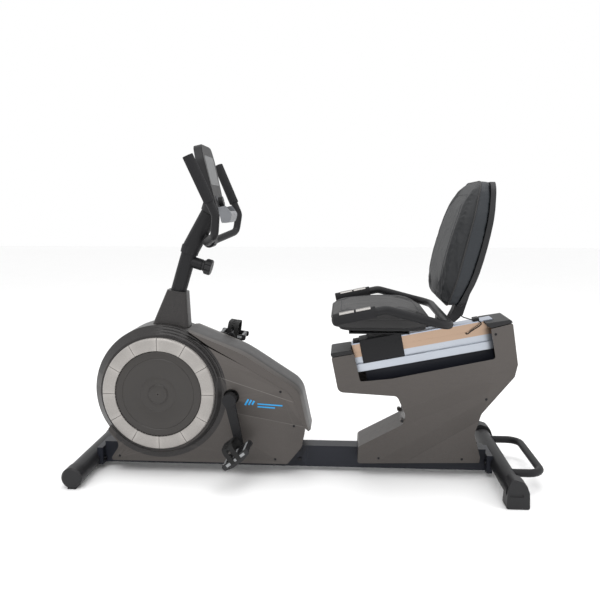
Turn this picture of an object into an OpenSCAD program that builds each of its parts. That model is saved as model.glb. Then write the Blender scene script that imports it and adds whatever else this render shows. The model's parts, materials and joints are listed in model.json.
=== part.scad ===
// Recumbent exercise bike: step-through frame, sliding seat, belt-driven magnetic flywheel.
// +X points to the rear of the bike, +Y to the rider's right, +Z up; the floor is z = 0.

/* [Overall] */
// Overall length, front stabiliser to lift handle
bike_length = 1600; // [1600:10:1920]
// Overall width across the rear feet
bike_width = 600; // [500:10:720]

/* [Frame] */
// Width of the main beam
beam_w = 60; // [50:1:72]
// Height of the main beam
beam_h = 76; // [64:1:90]
// Wall of the steel tubes
tube_wall = 3; // [2.5:0.1:3.6]
// Diameter of the front stabiliser tube
front_tube_d = 66; // [55:1:72]
// Diameter of the rear stabiliser tube
rear_tube_d = 60; // [50:1:64]
// Diameter of the lift handle tube
lift_tube_d = 26; // [22:1:31]
// Width of the lift handle between tube centres
lift_handle_w = 330; // [275:5:396]

/* [Drive] */
// Crank length, axle centre to pedal spindle centre
crank_throw = 170; // [142:1:200]
// Diameter of the flywheel
flywheel_d = 240; // [200:2:288]
// Teeth-free belt ratio, flywheel turns for one turn of the crank
belt_ratio = 7; // [6:0.5:8]
// Outer radius of the light trim ring
trim_r = 194; // [180:1:210]
// Width of each pedal
pedal_w = 92; // [76:1:110]

/* [Mast] */
// Outer diameter of the mast post
mast_d = 54; // [45:1:60]
// Lean of the lower mast from the vertical, in degrees
mast_lean = 17; // [15:0.5:19]
// Height adjustment of the console column
mast_travel = 80; // [60:5:90]
// Width between the two upright handlebar arms
handlebar_w = 480; // [400:5:576]

/* [Seat] */
// Width of the seat cushion
seat_w = 400; // [334:2:480]
// Thickness of the seat cushion
seat_thick = 54; // [46:1:64]
// Width of the backrest
back_w = 400; // [334:2:480]
// Length of the seat's travel along the rail
seat_travel = 250; // [210:5:255]
// Diameter of the side handle tube
side_tube_d = 28; // [24:1:33]

/* [Casings] */
// Half width of the front shroud body
front_half_w = 90; // [84:1:96]
// Half width of the rear shroud
rear_half_w = 78; // [72:1:90]
// Wall of the plastic shells
shell_wall = 3; // [2.5:0.1:3.6]

/* [Hidden] */
$fn = 64;

// Clearances
run_gap = 0.05;      // radial clearance of a shaft in its bore
slip_gap = 0.3;      // gap between pieces that slide past each other or only look joined
screw_r = 2;
eps = 0.02;          // radial gap of a press-fitted ring

// Driving places
front_x = -bike_length / 2;
rear_x = bike_length / 2;
front_tube_r = front_tube_d / 2;
rear_tube_r = rear_tube_d / 2;
cap_r = front_tube_r + 2;
front_tube_z = cap_r + 2;
front_tube_x = front_x + cap_r;
rear_tube_x = rear_x - 130;
rear_tube_z = 52;
beam_z = 19;
beam_top = beam_z + beam_h;
drum_r = trim_r + 38;
disc_x = front_x + 70 + drum_r;
disc_z = drum_r + 64;
crank_x = disc_x + 248;
crank_z = disc_z - 12;
joint_x = crank_x + 260;

// Drive train
axle_r = 10;
belt_thick = 3;
small_pulley_r = 13.5;
pitch_small = small_pulley_r + belt_thick / 2;
drive_pulley_r = pitch_small * belt_ratio - belt_thick / 2;
belt_y = -48;
belt_w = 14;
flywheel_r = flywheel_d / 2;
flywheel_y = 34;
flywheel_t = 20;
shell_tube_r = 24;       // bottom bracket shell and flywheel housing
bearing_r = 19;
housing_y = 28;
crank_y = 128;           // inner face of each crank
crank_t = 14;
spindle_r = 7;
pedal_y = crank_y + crank_t + 12;
crank_turn = 12.3;       // how far the left crank is past straight down

// Magnet arm: pivot near the front of the flywheel
magnet_pivot_r = flywheel_r + 20;
magnet_pivot_a = 250;
magnet_pin_r = 5;

// Mast
mast_r = mast_d / 2;
column_r = mast_r - tube_wall - run_gap;
mast_foot = [front_x + 187, beam_top];
mast_dir = [sin(mast_lean), cos(mast_lean)];
upright_top = 520;       // along the mast from its foot
post_top = 705;
column_low = post_top - mast_travel - 80;
column_bend = post_top + 12;
bend_shift = 22;                      // lower end of the head above the bend
head_lean = 29.7;
head_len = 196;
cover_r = column_r + 7;
bar_along = 84;          // handlebar centre, along the upper column
bar_out = 48;            // handlebar centre, out from the column
bar_r = 13;
knob_along = 680;

// Rail
rail_tilt = 11.2;
rail_len = 484;
rail_w = 60;
rail_h = 102;
rail_x = rear_x - 640;
rail_z = 461.5;
carriage_a = 28;
carriage_b = 172;
glide_t = 3;

// Rear shroud, measured forward from the rear end
function from_rear(pts) = [for (p = pts) [rear_x - 800 + p[0], p[1], len(p) > 2 ? p[2] : 0]];

// Vector helpers
function unit(v) = v / norm(v);
function xy(p) = [p[0], p[1]];
function mast_at(s) = mast_foot + s * mast_dir;
function head_at(t) = mast_at(column_bend) + (t - bend_shift) * [sin(head_lean), cos(head_lean)];
function rail_at(u, w) = [rail_x + u * cos(rail_tilt) - w * sin(rail_tilt),
                          rail_z + u * sin(rail_tilt) + w * cos(rail_tilt)];
function rail_pts(uw) = [for (p = uw) rail_at(p[0], p[1])];

// Points of the arc that rounds corner b between a and c
function corner(a, b, c, r, n) =
  let (u = unit(a - b), v = unit(c - b), half = acos(max(-1, min(1, u * v))) / 2,
       s = b + u * r / tan(half), e = b + v * r / tan(half), o = b + unit(u + v) * r / sin(half),
       a0 = atan2(s.y - o.y, s.x - o.x), raw = atan2(e.y - o.y, e.x - o.x) - a0,
       turn = raw > 180 ? raw - 360 : raw < -180 ? raw + 360 : raw)
  [for (i = [0:n]) o + r * [cos(a0 + turn * i / n), sin(a0 + turn * i / n)]];

// Closed outline from points [x, z, corner radius]
function rounded(pts, n = 5) = let (k = len(pts)) [
  for (i = [0:k - 1]) let (p = pts[i])
    each (len(p) > 2 && p[2] > 0)
      ? corner(xy(pts[(i + k - 1) % k]), xy(p), xy(pts[(i + 1) % k]), p[2], n) : [xy(p)]];

// Open path with rounded inner points
function rounded_path(pts, n = 5) = let (k = len(pts)) [
  xy(pts[0]),
  for (i = [1:k - 2]) each corner(xy(pts[i - 1]), xy(pts[i]), xy(pts[i + 1]), pts[i][2], n),
  xy(pts[k - 1])];

// The same outline moved inward by t, with its corner radii kept parallel
function turned(pts) = let (k = len(pts))
  sign([for (s = 0, i = 0; i <= k; s = s + (i < k ? pts[i][0] * pts[(i + 1) % k][1]
        - pts[(i + 1) % k][0] * pts[i][1] : 0), i = i + 1) s][k]);
function inset(pts, t) = let (k = len(pts), s = turned(pts)) [
  for (i = [0:k - 1])
    let (a = xy(pts[(i + k - 1) % k]), b = xy(pts[i]), c = xy(pts[(i + 1) % k]),
         d = unit(b - a), e = unit(c - b), m = s * [-d.y - e.y, d.x + e.x],
         q = b + m * t / (1 + d * e), convex = s * (d.x * e.y - d.y * e.x) > 0,
         r = len(pts[i]) > 2 ? pts[i][2] : 0)
    [q.x, q.y, r > 0 ? max(0.4, r + (convex ? -t : t)) : 0]];

// Points on the circle through three points
function arc3(p, q, r, n = 10) =
  let (d = 2 * (p.x * (q.y - r.y) + q.x * (r.y - p.y) + r.x * (p.y - q.y)),
       o = [((p * p) * (q.y - r.y) + (q * q) * (r.y - p.y) + (r * r) * (p.y - q.y)) / d,
            ((p * p) * (r.x - q.x) + (q * q) * (p.x - r.x) + (r * r) * (q.x - p.x)) / d],
       rad = norm(p - o), a0 = atan2(p.y - o.y, p.x - o.x), raw = atan2(r.y - o.y, r.x - o.x) - a0,
       turn = raw > 180 ? raw - 360 : raw < -180 ? raw + 360 : raw)
  [for (i = [0:n]) o + rad * [cos(a0 + turn * i / n), sin(a0 + turn * i / n)]];

// Flat plate: an x-z outline between two y values
module plate(pts, y0, y1) {
  translate([0, y1, 0]) rotate([90, 0, 0]) linear_extrude(y1 - y0) polygon([for (p = pts) xy(p)]);
}

// Round bar along y through an x-z point
module cross_bar(at, r, y0, y1) {
  translate([at.x, y1, at.y]) rotate([90, 0, 0]) cylinder(r = r, h = y1 - y0);
}

module mirror_y(side) { mirror([0, side > 0 ? 1 : 0, 0]) children(); }
module both_sides() { for (side = [-1, 1]) mirror_y(side) children(); }

// Round bar from point to point, with round bends
module straight(a, b, r) {
  d = b - a;
  translate(a) rotate([0, acos(d.z / norm(d)), atan2(d.y, d.x)]) cylinder(r = r, h = norm(d));
}
function bend_turn(a, b, c) = acos(unit(b - a) * unit(c - b));
function bend_cut(a, b, c, r) = r * tan(bend_turn(a, b, c) / 2);
// Points along a path whose inner corners are rounded to bend_r
function bend_arc(a, b, c, bend_r, n) =
  let (d = unit(b - a), e = unit(c - b), u = unit(e - d * (d * e)), cut = bend_cut(a, b, c, bend_r),
       o = b - d * cut + u * bend_r, turn = bend_turn(a, b, c))
  [for (i = [0:n]) o + bend_r * (d * sin(turn * i / n) - u * cos(turn * i / n))];
function bent_path(pts, bend_r, n = 5) = let (k = len(pts)) [
  pts[0], for (i = [1:k - 2]) each bend_arc(pts[i - 1], pts[i], pts[i + 1], bend_r, n), pts[k - 1]];
function path_ring(pts, i, r, ref, sides) =
  let (k = len(pts), before = i > 0 ? unit(pts[i] - pts[i - 1]) : [0, 0, 0],
       after = i < k - 1 ? unit(pts[i + 1] - pts[i]) : [0, 0, 0], d = unit(before + after),
       u = unit(cross(d, ref)), v = cross(d, u))
  [for (j = [0:sides - 1]) pts[i] + r * (u * cos(360 * j / sides) + v * sin(360 * j / sides))];

// Tube of wall thickness wall swept along a rounded path; ref is never parallel to the path
module swept_tube(pts, bend_r, r, wall, ref, sides = 20) {
  path = bent_path(pts, bend_r);
  k = len(path);
  n = sides;
  rings = concat([for (i = [0:k - 1]) path_ring(path, i, r, ref, n)],
                 [for (i = [0:k - 1]) path_ring(path, i, r - wall, ref, n)]);
  side = function (base, flip) [
    for (i = [0:k - 2], j = [0:n - 1])
      let (a = base + i * n + j, b = base + i * n + (j + 1) % n)
      each flip ? [[a, b + n, b], [a, a + n, b + n]] : [[a, b, b + n], [a, b + n, a + n]]];
  end = function (i, flip) [
    for (j = [0:n - 1])
      let (a = i * n + j, b = i * n + (j + 1) % n, c = a + k * n, d = b + k * n)
      each flip ? [[a, c, d], [a, d, b]] : [[a, d, c], [a, b, d]]];
  polyhedron(points = [for (q = rings) each q],
             faces = concat(side(0, true), side(k * n, false), end(0, false), end(k - 1, true)));
}

// Bar along the mast or the upper column, from a to b
module mast_bar(a, b, r) {
  translate([mast_at(a).x, 0, mast_at(a).y]) rotate([0, mast_lean, 0]) cylinder(r = r, h = b - a);
}
module head_bar(a, b, r) {
  translate([head_at(a).x, 0, head_at(a).y]) rotate([0, head_lean, 0]) cylinder(r = r, h = b - a);
}
// Frame that lies along the rail: x along it, z out of its top
module on_rail(u = 0) {
  translate([rail_at(u, 0).x, 0, rail_at(u, 0).y]) rotate([0, -rail_tilt, 0]) children();
}

// ---- Frame ----
saddle_front = front_tube_x + front_tube_r;
saddle_rear = rear_tube_x - rear_tube_r;
saddle_t = 12;
joint_bolts = [[joint_x - 70, beam_top - 15], [joint_x - 28, beam_top - 15], [joint_x - 70, beam_z + 26],
               [joint_x - 28, beam_z + 26]];
saddle_bolt_y = 42;
bolt_r = 4;

module box_tube_x(x0, x1, y, z0, z1, wall) {
  difference() {
    translate([x0, -y, z0]) cube([x1 - x0, 2 * y, z1 - z0]);
    translate([x0 - 1, -y + wall, z0 + wall]) cube([x1 - x0 + 2, 2 * (y - wall), z1 - z0 - 2 * wall]);
  }
}
module joint_holes(r) {
  for (p = joint_bolts) cross_bar(p, r, -beam_w, beam_w);
}
module saddle_holes(x, z, r) {
  for (y = [-saddle_bolt_y, saddle_bolt_y])
    translate([x - 30, y, z]) rotate([0, 90, 0]) cylinder(r = r, h = 60);
}

magnet_pivot = [disc_x + magnet_pivot_r * cos(magnet_pivot_a), disc_z + magnet_pivot_r * sin(magnet_pivot_a)];

module front_frame() {
  color([0.07, 0.08, 0.1]) {
    difference() {
      union() {
        box_tube_x(saddle_front + saddle_t, joint_x, beam_w / 2, beam_z, beam_top, tube_wall);
        translate([saddle_front - 8, -60, beam_z]) cube([saddle_t + 8, 120, min(beam_h, 62)]);
        mast_bar(-beam_h / 10, upright_top, mast_r);
        plate([mast_at(20), [crank_x - 60, beam_top - 1], mast_at(90)], -4, 4);
        cross_bar([disc_x, disc_z], shell_tube_r, -housing_y, housing_y);
        plate([mast_at(150), [disc_x, disc_z - 18], [disc_x, disc_z + 18], mast_at(270)], -9, 9);
        translate([crank_x - 20, -18, beam_top - 1]) cube([40, 36, crank_z - beam_top]);
        cross_bar([crank_x, crank_z], shell_tube_r, -housing_y, housing_y);
        plate([mast_at(50), magnet_pivot - [0, 9], magnet_pivot + [9, 4], mast_at(110)], 9, 25);
        cross_bar(magnet_pivot, magnet_pin_r, 20, flywheel_y + flywheel_t + 7);
      }
      mast_bar(30, upright_top + 1, mast_r - tube_wall);
      cross_bar([disc_x, disc_z], bearing_r + eps, -housing_y - 1, housing_y + 1);
      cross_bar([crank_x, crank_z], bearing_r + eps, -housing_y - 1, housing_y + 1);
      cross_bar([front_tube_x, front_tube_z], front_tube_r + eps, -100, 100);
      joint_holes(bolt_r + 0.2);
      saddle_holes(saddle_front, front_tube_z, bolt_r + 0.2);
      translate([joint_x - 100, -beam_w / 2 + tube_wall, beam_z + tube_wall])
        cube([101, beam_w - 2 * tube_wall, beam_h - 2 * tube_wall]);
    }
  }
}

post_front = [[-400, 1], [-350, 1], [-398, 265], [-448, 265]];
post_rear = [[-295, 1], [-250, 1], [-211, 308], [-256, 308]];
function post_outline(pts) = [for (q = pts) [rear_x + q[0], beam_top - 2 + q[1]]];
module post_bore(pts) {
  i = inset(post_outline(pts), tube_wall);
  plate([xy(i[0]) - [0, 3 * tube_wall], xy(i[1]) - [0, 3 * tube_wall], xy(i[2]), xy(i[3])],
        -19 + tube_wall, 19 - tube_wall);
}
module rear_frame() {
  color([0.07, 0.08, 0.1]) difference() {
    union() {
      box_tube_x(joint_x + 0.2, saddle_rear - saddle_t, beam_w / 2, beam_z, beam_top, tube_wall);
      box_tube_x(joint_x - 95, joint_x + 40, beam_w / 2 - tube_wall - 0.2, beam_z + tube_wall + 0.2,
                 beam_top - tube_wall - 0.2, tube_wall);
      box_tube_x(joint_x + 20, joint_x + 40, beam_w / 2 - 1, beam_z + 1, beam_top - 1, 2 * tube_wall);
      translate([saddle_rear - saddle_t, -56, beam_z]) cube([saddle_t + 8, 112, min(beam_h, 62)]);
      intersection() {
        for (pts = [post_front, post_rear]) plate(post_outline(pts), -19, 19);
        plate([[rear_x - 800, beam_top - 1], [rear_x, beam_top - 1], rail_at(640, -rail_h - 20),
               rail_at(-100, -rail_h - 20)], -50, 50);
      }
      on_rail() difference() {
        translate([30, -20, -rail_h - 43]) cube([440, 40, 43 - eps]);
        translate([29, -20 + tube_wall, -rail_h - 43 + tube_wall]) cube([442, 40 - 2 * tube_wall, 43 - 2 * tube_wall]);
      }
    }
    cross_bar([rear_tube_x, rear_tube_z], rear_tube_r + eps, -100, 100);
    joint_holes(bolt_r + 0.2);
    saddle_holes(saddle_rear, rear_tube_z, bolt_r + 0.2);
    difference() {
      union() { post_bore(post_front); post_bore(post_rear); }
      plate([rail_at(-150, -rail_h - 43 - tube_wall), rail_at(700, -rail_h - 43 - tube_wall), [rear_x, 900],
             [front_x, 900]], -50, 50);
    }
  }
}

module frame_bolts() {
  color([0.16, 0.16, 0.17]) {
    for (p = joint_bolts, s = [-1, 1]) mirror_y(s) {
      cross_bar(p, bolt_r, -beam_w / 2, -beam_w / 2 + 12);
      translate([p.x, -beam_w / 2, p.y]) rotate([90, 0, 0]) cylinder(r = 7, h = 5, $fn = 6);
    }
    for (s = [-1, 1]) mirror_y(s) {
      translate([saddle_front + saddle_t, -saddle_bolt_y, front_tube_z]) rotate([0, 90, 0]) cylinder(r = 7, h = 5);
      translate([saddle_front - 12, -saddle_bolt_y, front_tube_z]) rotate([0, 90, 0])
        cylinder(r = bolt_r, h = saddle_t + 12);
      translate([saddle_rear - saddle_t - 5, -saddle_bolt_y, rear_tube_z]) rotate([0, 90, 0]) cylinder(r = 7, h = 5);
      translate([saddle_rear - saddle_t, -saddle_bolt_y, rear_tube_z]) rotate([0, 90, 0])
        cylinder(r = bolt_r, h = saddle_t + 12);
    }
  }
}

// ---- Stabilisers ----
front_half = bike_width / 2 - 60;    // outer end of the front caps
cap_len = 52;
foot_len = 55;
wheel_r = 20;
wheel_w = 20;
wheel_at = [front_x + wheel_r, wheel_r + 5];
wheel_y = front_half - 16;           // outer face of each wheel
pin_r = 4;

module front_stabilizer() {
  color([0.08, 0.08, 0.09]) difference() {
    cross_bar([front_tube_x, front_tube_z], front_tube_r, -front_half + cap_len, front_half - cap_len);
    cross_bar([front_tube_x, front_tube_z], front_tube_r - tube_wall, -front_half, front_half);
    saddle_holes(saddle_front, front_tube_z, bolt_r + 0.2);
  }
}
module front_caps() {
  color([0.06, 0.06, 0.07]) both_sides() difference() {
    union() {
      difference() {
        union() {
          translate([front_tube_x, -front_half + cap_len, front_tube_z]) rotate([90, 0, 0])
            rotate_extrude() polygon([[0, 0], [cap_r, 0], [cap_r, cap_len - 6], [cap_r - 6, cap_len], [0, cap_len]]);
          translate([front_tube_x - 14, -front_half + 3, 0]) cube([28, cap_len - 6, 8]);
        }
        cross_bar(wheel_at, wheel_r + 1.5, -wheel_y - 1, -wheel_y + wheel_w + 1);
      }
      cross_bar(wheel_at, pin_r, -wheel_y - 4, -wheel_y + wheel_w + 4);
    }
  }
}
module transport_wheel(side) {
  color([0.1, 0.1, 0.1]) mirror_y(side) difference() {
    translate([wheel_at.x, -wheel_y + wheel_w, wheel_at.y]) rotate([90, 0, 0]) rotate_extrude()
      polygon([[0, 0], [wheel_r - 2, 0], [wheel_r, 2], [wheel_r, wheel_w - 2], [wheel_r - 2, wheel_w], [0, wheel_w]]);
    cross_bar(wheel_at, pin_r + run_gap, -wheel_y - 1, -wheel_y + wheel_w + 1);
  }
}
module transport_wheel_left() transport_wheel(-1);
module transport_wheel_right() transport_wheel(1);

foot_pts = from_rear([[640, 0, 7], [713, 0, 7], [711, 52, 10], [702, 76, 10], [690, 88, 8], [654, 99, 14], [644, 62, 10]]);
module rear_stabilizer() {
  color([0.11, 0.11, 0.12]) difference() {
    cross_bar([rear_tube_x, rear_tube_z], rear_tube_r, -bike_width / 2 + 12, bike_width / 2 - 12);
    cross_bar([rear_tube_x, rear_tube_z], rear_tube_r - tube_wall, -bike_width / 2, bike_width / 2);
    saddle_holes(saddle_rear, rear_tube_z, bolt_r + 0.2);
    difference() {
      union() { post_bore(post_front); post_bore(post_rear); }
      plate([rail_at(-150, -rail_h - 43 - tube_wall), rail_at(700, -rail_h - 43 - tube_wall), [rear_x, 900],
             [front_x, 900]], -50, 50);
    }
  }
}
module rear_feet() {
  color([0.13, 0.13, 0.14]) both_sides() difference() {
    plate(rounded(foot_pts), -bike_width / 2, -bike_width / 2 + foot_len);
    cross_bar([rear_tube_x, rear_tube_z], rear_tube_r + eps, -bike_width / 2 + 12, -bike_width / 2 + 100);
    translate([rear_tube_x - 20, -bike_width / 2 - 1, rear_tube_z - 12]) cube([42, 4, 9]);
  }
}
module lift_handle() {
  r = lift_tube_d / 2;
  hw = lift_handle_w / 2;
  color([0.12, 0.12, 0.13]) difference() {
    swept_tube([[rear_tube_x + 10, -hw, 66], [rear_x - r, -hw, 66], [rear_x - r, hw, 66],
                [rear_tube_x + 10, hw, 66]], 45, r, tube_wall - 0.5, [0, 0, 1]);
    cross_bar([rear_tube_x, rear_tube_z], rear_tube_r + eps, -bike_width / 2, bike_width / 2);
  }
}

// ---- Rail and carriage ----
web_w = 40;
flange_top = 30;
flange_low = 27;
rail_section = [[-rail_w / 2, 0], [rail_w / 2, 0], [rail_w / 2, -flange_top], [web_w / 2, -flange_top],
                [web_w / 2, flange_low - rail_h], [rail_w / 2, flange_low - rail_h], [rail_w / 2, -rail_h],
                [-rail_w / 2, -rail_h], [-rail_w / 2, flange_low - rail_h], [-web_w / 2, flange_low - rail_h],
                [-web_w / 2, -flange_top], [-rail_w / 2, -flange_top]];
// A y-w section drawn along the rail from a to b
module along_rail(section, a, b) {
  on_rail() translate([a, 0, 0]) rotate([90, 0, 90]) linear_extrude(b - a) polygon(section);
}
cable_hole = [rear_x - 250, 501];    // where the sensor cable enters the rail
module seat_rail() {
  color([0.78, 0.79, 0.8]) difference() {
    along_rail(rail_section, 0, rail_len);
    along_rail([[-24, -4], [24, -4], [24, -26], [16, -26], [16, -79], [24, -79], [24, -98], [-24, -98],
                [-24, -79], [-16, -79], [-16, -26], [-24, -26]], -1, rail_len + 1);
    cross_bar(cable_hole, 2.4, -web_w, 0);
  }
}
module rail_stops() {
  color([0.72, 0.73, 0.75]) {
    along_rail([[-22, 0], [22, 0], [22, 9], [-22, 9]], 6, carriage_a - slip_gap);
    along_rail([[-18, 0], [18, 0], [18, 9], [-18, 9]], carriage_b + seat_travel + slip_gap,
               carriage_b + seat_travel + 20);
  }
}
carriage_in = rail_w / 2 + glide_t;
carriage_out = carriage_in + 12;
pedestal_top = 512;
module carriage() {
  color([0.04, 0.04, 0.045]) {
    along_rail([[-carriage_out, -71], [-carriage_in, -71], [-carriage_in, glide_t], [carriage_in, glide_t],
                [carriage_in, -71], [carriage_out, -71], [carriage_out, 10], [-carriage_out, 10]],
               carriage_a, carriage_b);
    difference() {
      plate([[rail_x + 48, pedestal_top], [rail_x + 133, pedestal_top], rail_at(136, 10), rail_at(56, 10)], -40, 40);
      plate([[rail_x + 54, pedestal_top - 4], [rail_x + 127, pedestal_top - 4], rail_at(128, 14), rail_at(62, 14)], -41, 41);
    }
  }
}
module carriage_glides() {
  i = rail_w / 2 + slip_gap;
  o = carriage_in;
  color([0.85, 0.84, 0.8]) both_sides()
    along_rail([[-10, slip_gap], [-i, slip_gap], [-i, -flange_top - slip_gap], [-web_w / 2 - 1, -flange_top - slip_gap],
                [-web_w / 2 - 1, -flange_top - 5], [-o, -flange_top - 5], [-o, glide_t], [-10, glide_t]],
               carriage_a + 10, carriage_b - 10);
}

// ---- Rear shroud ----
rear_outline = from_rear([
  [92, 422, 5], [168, 436, 3], [190, 341, 8], [296, 353, 20], [640, 427, 9], [621, 528, 4], [692, 547, 4],
  [714, 408, 14], [705, 366, 16], [600, 236, 30], [578, 165, 30], [600, 84, 18], [598, 64, 5], [184, 52, 8],
  [186, 112, 14], [337, 194, 22], [346, 225, 22], [316, 292, 18], [116, 303, 22]]);
rail_window = from_rear([[172, 620], [172, 328], [194, 328], [296, 338], [630, 410], [652, 420], [652, 620]]);
rear_screws = [[637, 510], [614, 287], [334, 206], [256, 72], [539, 75]];

module rear_shroud(side) {
  color([0.3, 0.29, 0.28]) mirror_y(side) difference() {
    union() {
      difference() {
        plate(rounded(rear_outline), -rear_half_w, -slip_gap / 2);
        plate(rounded(inset(rear_outline, shell_wall)), -rear_half_w + shell_wall, 1);
        plate(rail_window, -rear_half_w + shell_wall, 1);
      }
      for (p = rear_screws) cross_bar([rear_x - 800 + p[0], p[1]], 7, -rear_half_w + 2, -rear_half_w + 20);
    }
    for (p = rear_screws) {
      cross_bar([rear_x - 800 + p[0], p[1]], 4.6, -rear_half_w - 1, -rear_half_w + 3);
      cross_bar([rear_x - 800 + p[0], p[1]], screw_r + 0.1, -rear_half_w, -rear_half_w + 21);
    }
    translate([front_x, -beam_w / 2 - 1, beam_z - 20]) cube([bike_length, beam_w, beam_h + 22]);
    on_rail() translate([-100, -rail_w / 2 - 2, -rail_h - 46]) cube([rail_len + 104, rail_w, rail_h + 80]);
  }
}
module rear_shroud_left() rear_shroud(-1);
module rear_shroud_right() rear_shroud(1);

front_cap_pts = from_rear([[87, 438, 5], [159, 450, 3], [163.5, 437.2, 0], [93, 424.5, 3]]);
rear_cap_pts = from_rear([[604, 546, 3], [686, 560, 8], [691, 549.5, 2], [622, 531, 0], [608, 537, 2]]);
module shroud_cap(pts, low) {
  difference() {
    plate(rounded(pts), -rear_half_w, rear_half_w);
    plate([for (p = inset(pts, shell_wall)) [p[0], p[1] - low]], -rear_half_w + shell_wall, rear_half_w - shell_wall);
  }
}
module rear_shroud_caps() {
  color([0.13, 0.13, 0.14]) {
    shroud_cap(front_cap_pts, 5);
    difference() {
      shroud_cap(rear_cap_pts, 5);
      on_rail() translate([0, -rail_w / 2 - 1, -rail_h]) cube([rail_len + 2, rail_w + 2, rail_h + 1]);
    }
  }
}

// ---- Front shroud ----
front_top = disc_z + drum_r;
panel_path = [[disc_x - 22, disc_z + 0.86 * drum_r, 0], [disc_x + 98, disc_z + 0.845 * drum_r, 150],
              [crank_x + 44, crank_z + 108, 300], [crank_x + 200, crank_z + 16, 60], [crank_x + 252, crank_z - 106, 0]];
crest_path = [[disc_x - 30, front_top - 14, 0], [disc_x + 98, front_top - 19, 150],
              [crank_x + 50, crank_z + 153, 300], [crank_x + 240, crank_z + 28, 80],
              [crank_x + 271, crank_z - 123, 0]];
body_outline = [for (p = panel_path) p,
  [crank_x + 252, crank_z - 124, 10], [crank_x + 242, crank_z - 174, 34], [crank_x + 192, 48, 10],
  [disc_x - 186, 48, 8], [disc_x - 148, 104, 24], [disc_x - 190, 158, 8], [disc_x - 100, disc_z, 0]];
front_screws = [[crank_x + 169, crank_z + 20], [crank_x + 150, 64], [disc_x - 150, 64], [crank_x + 215, crank_z - 100]];
drum_side = front_half_w + 14;
disc_y = drum_side + 14;
ring_y = drum_side + 17;
hub_hole = 27;

module drum(r, half, side_r, step) {
  translate([disc_x, 0, disc_z]) rotate([90, 0, 0]) rotate_extrude()
    polygon([[0, -1], [r, -1], [r, half - step], [side_r, half], [0, half]]);
}
module front_shroud(side) {
  color([0.3, 0.29, 0.28]) mirror_y(side) difference() {
    union() {
      difference() {
        union() {
          plate(rounded(body_outline), -front_half_w, 0);
          drum(drum_r, drum_side, trim_r + 9, 34);
        }
        plate(rounded(inset(body_outline, shell_wall)), -front_half_w + shell_wall, 1);
        drum(drum_r - shell_wall, drum_side - shell_wall, trim_r + 7, 34);
      }
      for (p = front_screws) cross_bar(p, 7, -front_half_w + 2, -front_half_w + 20);
    }
    translate([front_x, -slip_gap / 2, 0]) cube([bike_length, 10, 900]);
    translate([front_x, -200, -10]) cube([bike_length, 220, 58]);
    translate([front_x, -beam_w / 2 - 1, beam_z - 20]) cube([bike_length, beam_w, beam_h + 22]);
    for (p = joint_bolts) cross_bar(p, 9, -beam_w / 2 - 6, 0);
    mast_bar(0, 700, mast_r + 1);
    cross_bar([crank_x, crank_z], hub_hole, -200, 10);
    for (p = front_screws) {
      cross_bar(p, 4.6, -front_half_w - 1, -front_half_w + 3);
      cross_bar(p, screw_r + 0.1, -front_half_w, -front_half_w + 21);
    }
  }
}
module front_shroud_left() front_shroud(-1);
module front_shroud_right() front_shroud(1);

module shroud_screw(p, half) {
  cross_bar(p, 4.5, -half + 0.5, -half + 3);
  cross_bar(p, screw_r, -half + 3, -half + 19);
}
module shroud_screws() {
  color([0.05, 0.05, 0.05]) both_sides() {
    for (p = front_screws) shroud_screw(p, front_half_w);
    for (p = rear_screws) shroud_screw([rear_x - 800 + p[0], p[1]], rear_half_w);
  }
}

// Closed skin through a list of loops that all have the same number of points
function loop_faces(rings, k) = concat(
  [[for (j = [k - 1:-1:0]) j]],
  [for (i = [0:rings - 2], j = [0:k - 1])
     each [[i * k + j, i * k + (j + 1) % k, (i + 1) * k + (j + 1) % k],
           [i * k + j, (i + 1) * k + (j + 1) % k, (i + 1) * k + j]]],
  [[for (j = [0:k - 1]) (rings - 1) * k + j]]);
module skin(loops) {
  polyhedron(points = [for (l = loops) each l], faces = loop_faces(len(loops), len(loops[0])));
}

// Stepped cover: [half width, drop below the crest] of each step, from the sides to the centre
band_steps = [[front_half_w, 9], [front_half_w - 14, 6], [front_half_w - 27, 3], [front_half_w - 40, 0]];
band_wall = 3;
// A point list run on by a at its start and by b at its end
function last(p) = p[len(p) - 1];
function run_on(p, a, b) =
  concat([p[0] + a * unit(p[0] - p[1])], [for (i = [1:len(p) - 2]) p[i]],
         [last(p) + b * unit(last(p) - p[len(p) - 2])]);
function reversed(p) = [for (i = [len(p) - 1:-1:0]) p[i]];
module front_shroud_band() {
  from_drum = function (a) [disc_x, disc_z] + (drum_r + 5.5) * [cos(a), sin(a)];
  apart = function (p, i) i == 0 || norm(xy(p[i]) - xy(p[i - 1])) > 1;
  panel = rounded_path(concat([from_drum(44)], [for (i = [2:4]) panel_path[i]]), 6);
  crest = rounded_path(concat([from_drum(66)], [for (i = [2:4]) crest_path[i]]), 6);
  kept = [for (i = [0:len(panel) - 1]) if (apart(panel, i) && apart(crest, i)) i];
  up = [for (i = kept) unit(xy(crest[i]) - xy(panel[i]))];
  edge = function (a) [for (k = [0:len(kept) - 1]) xy(panel[kept[k]]) + a * up[k]];
  top = function (a) [for (k = [0:len(kept) - 1]) xy(crest[kept[k]]) - a * up[k]];
  color([0.14, 0.14, 0.15]) difference() {
    for (k = [0:len(band_steps) - 1])
      plate(concat(run_on(edge(0.4), 0.3 * k, 0.3 * k), reversed(run_on(top(band_steps[k][1]), 0.3 * k, 0.3 * k))),
            -band_steps[k][0], band_steps[k][0]);
    for (s = band_steps)
      plate(concat(run_on(edge(-1), 2, 2), reversed(run_on(top(s[1] + band_wall), 2, 2))), -s[0] + band_wall, s[0] - band_wall);
  }
}

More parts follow.
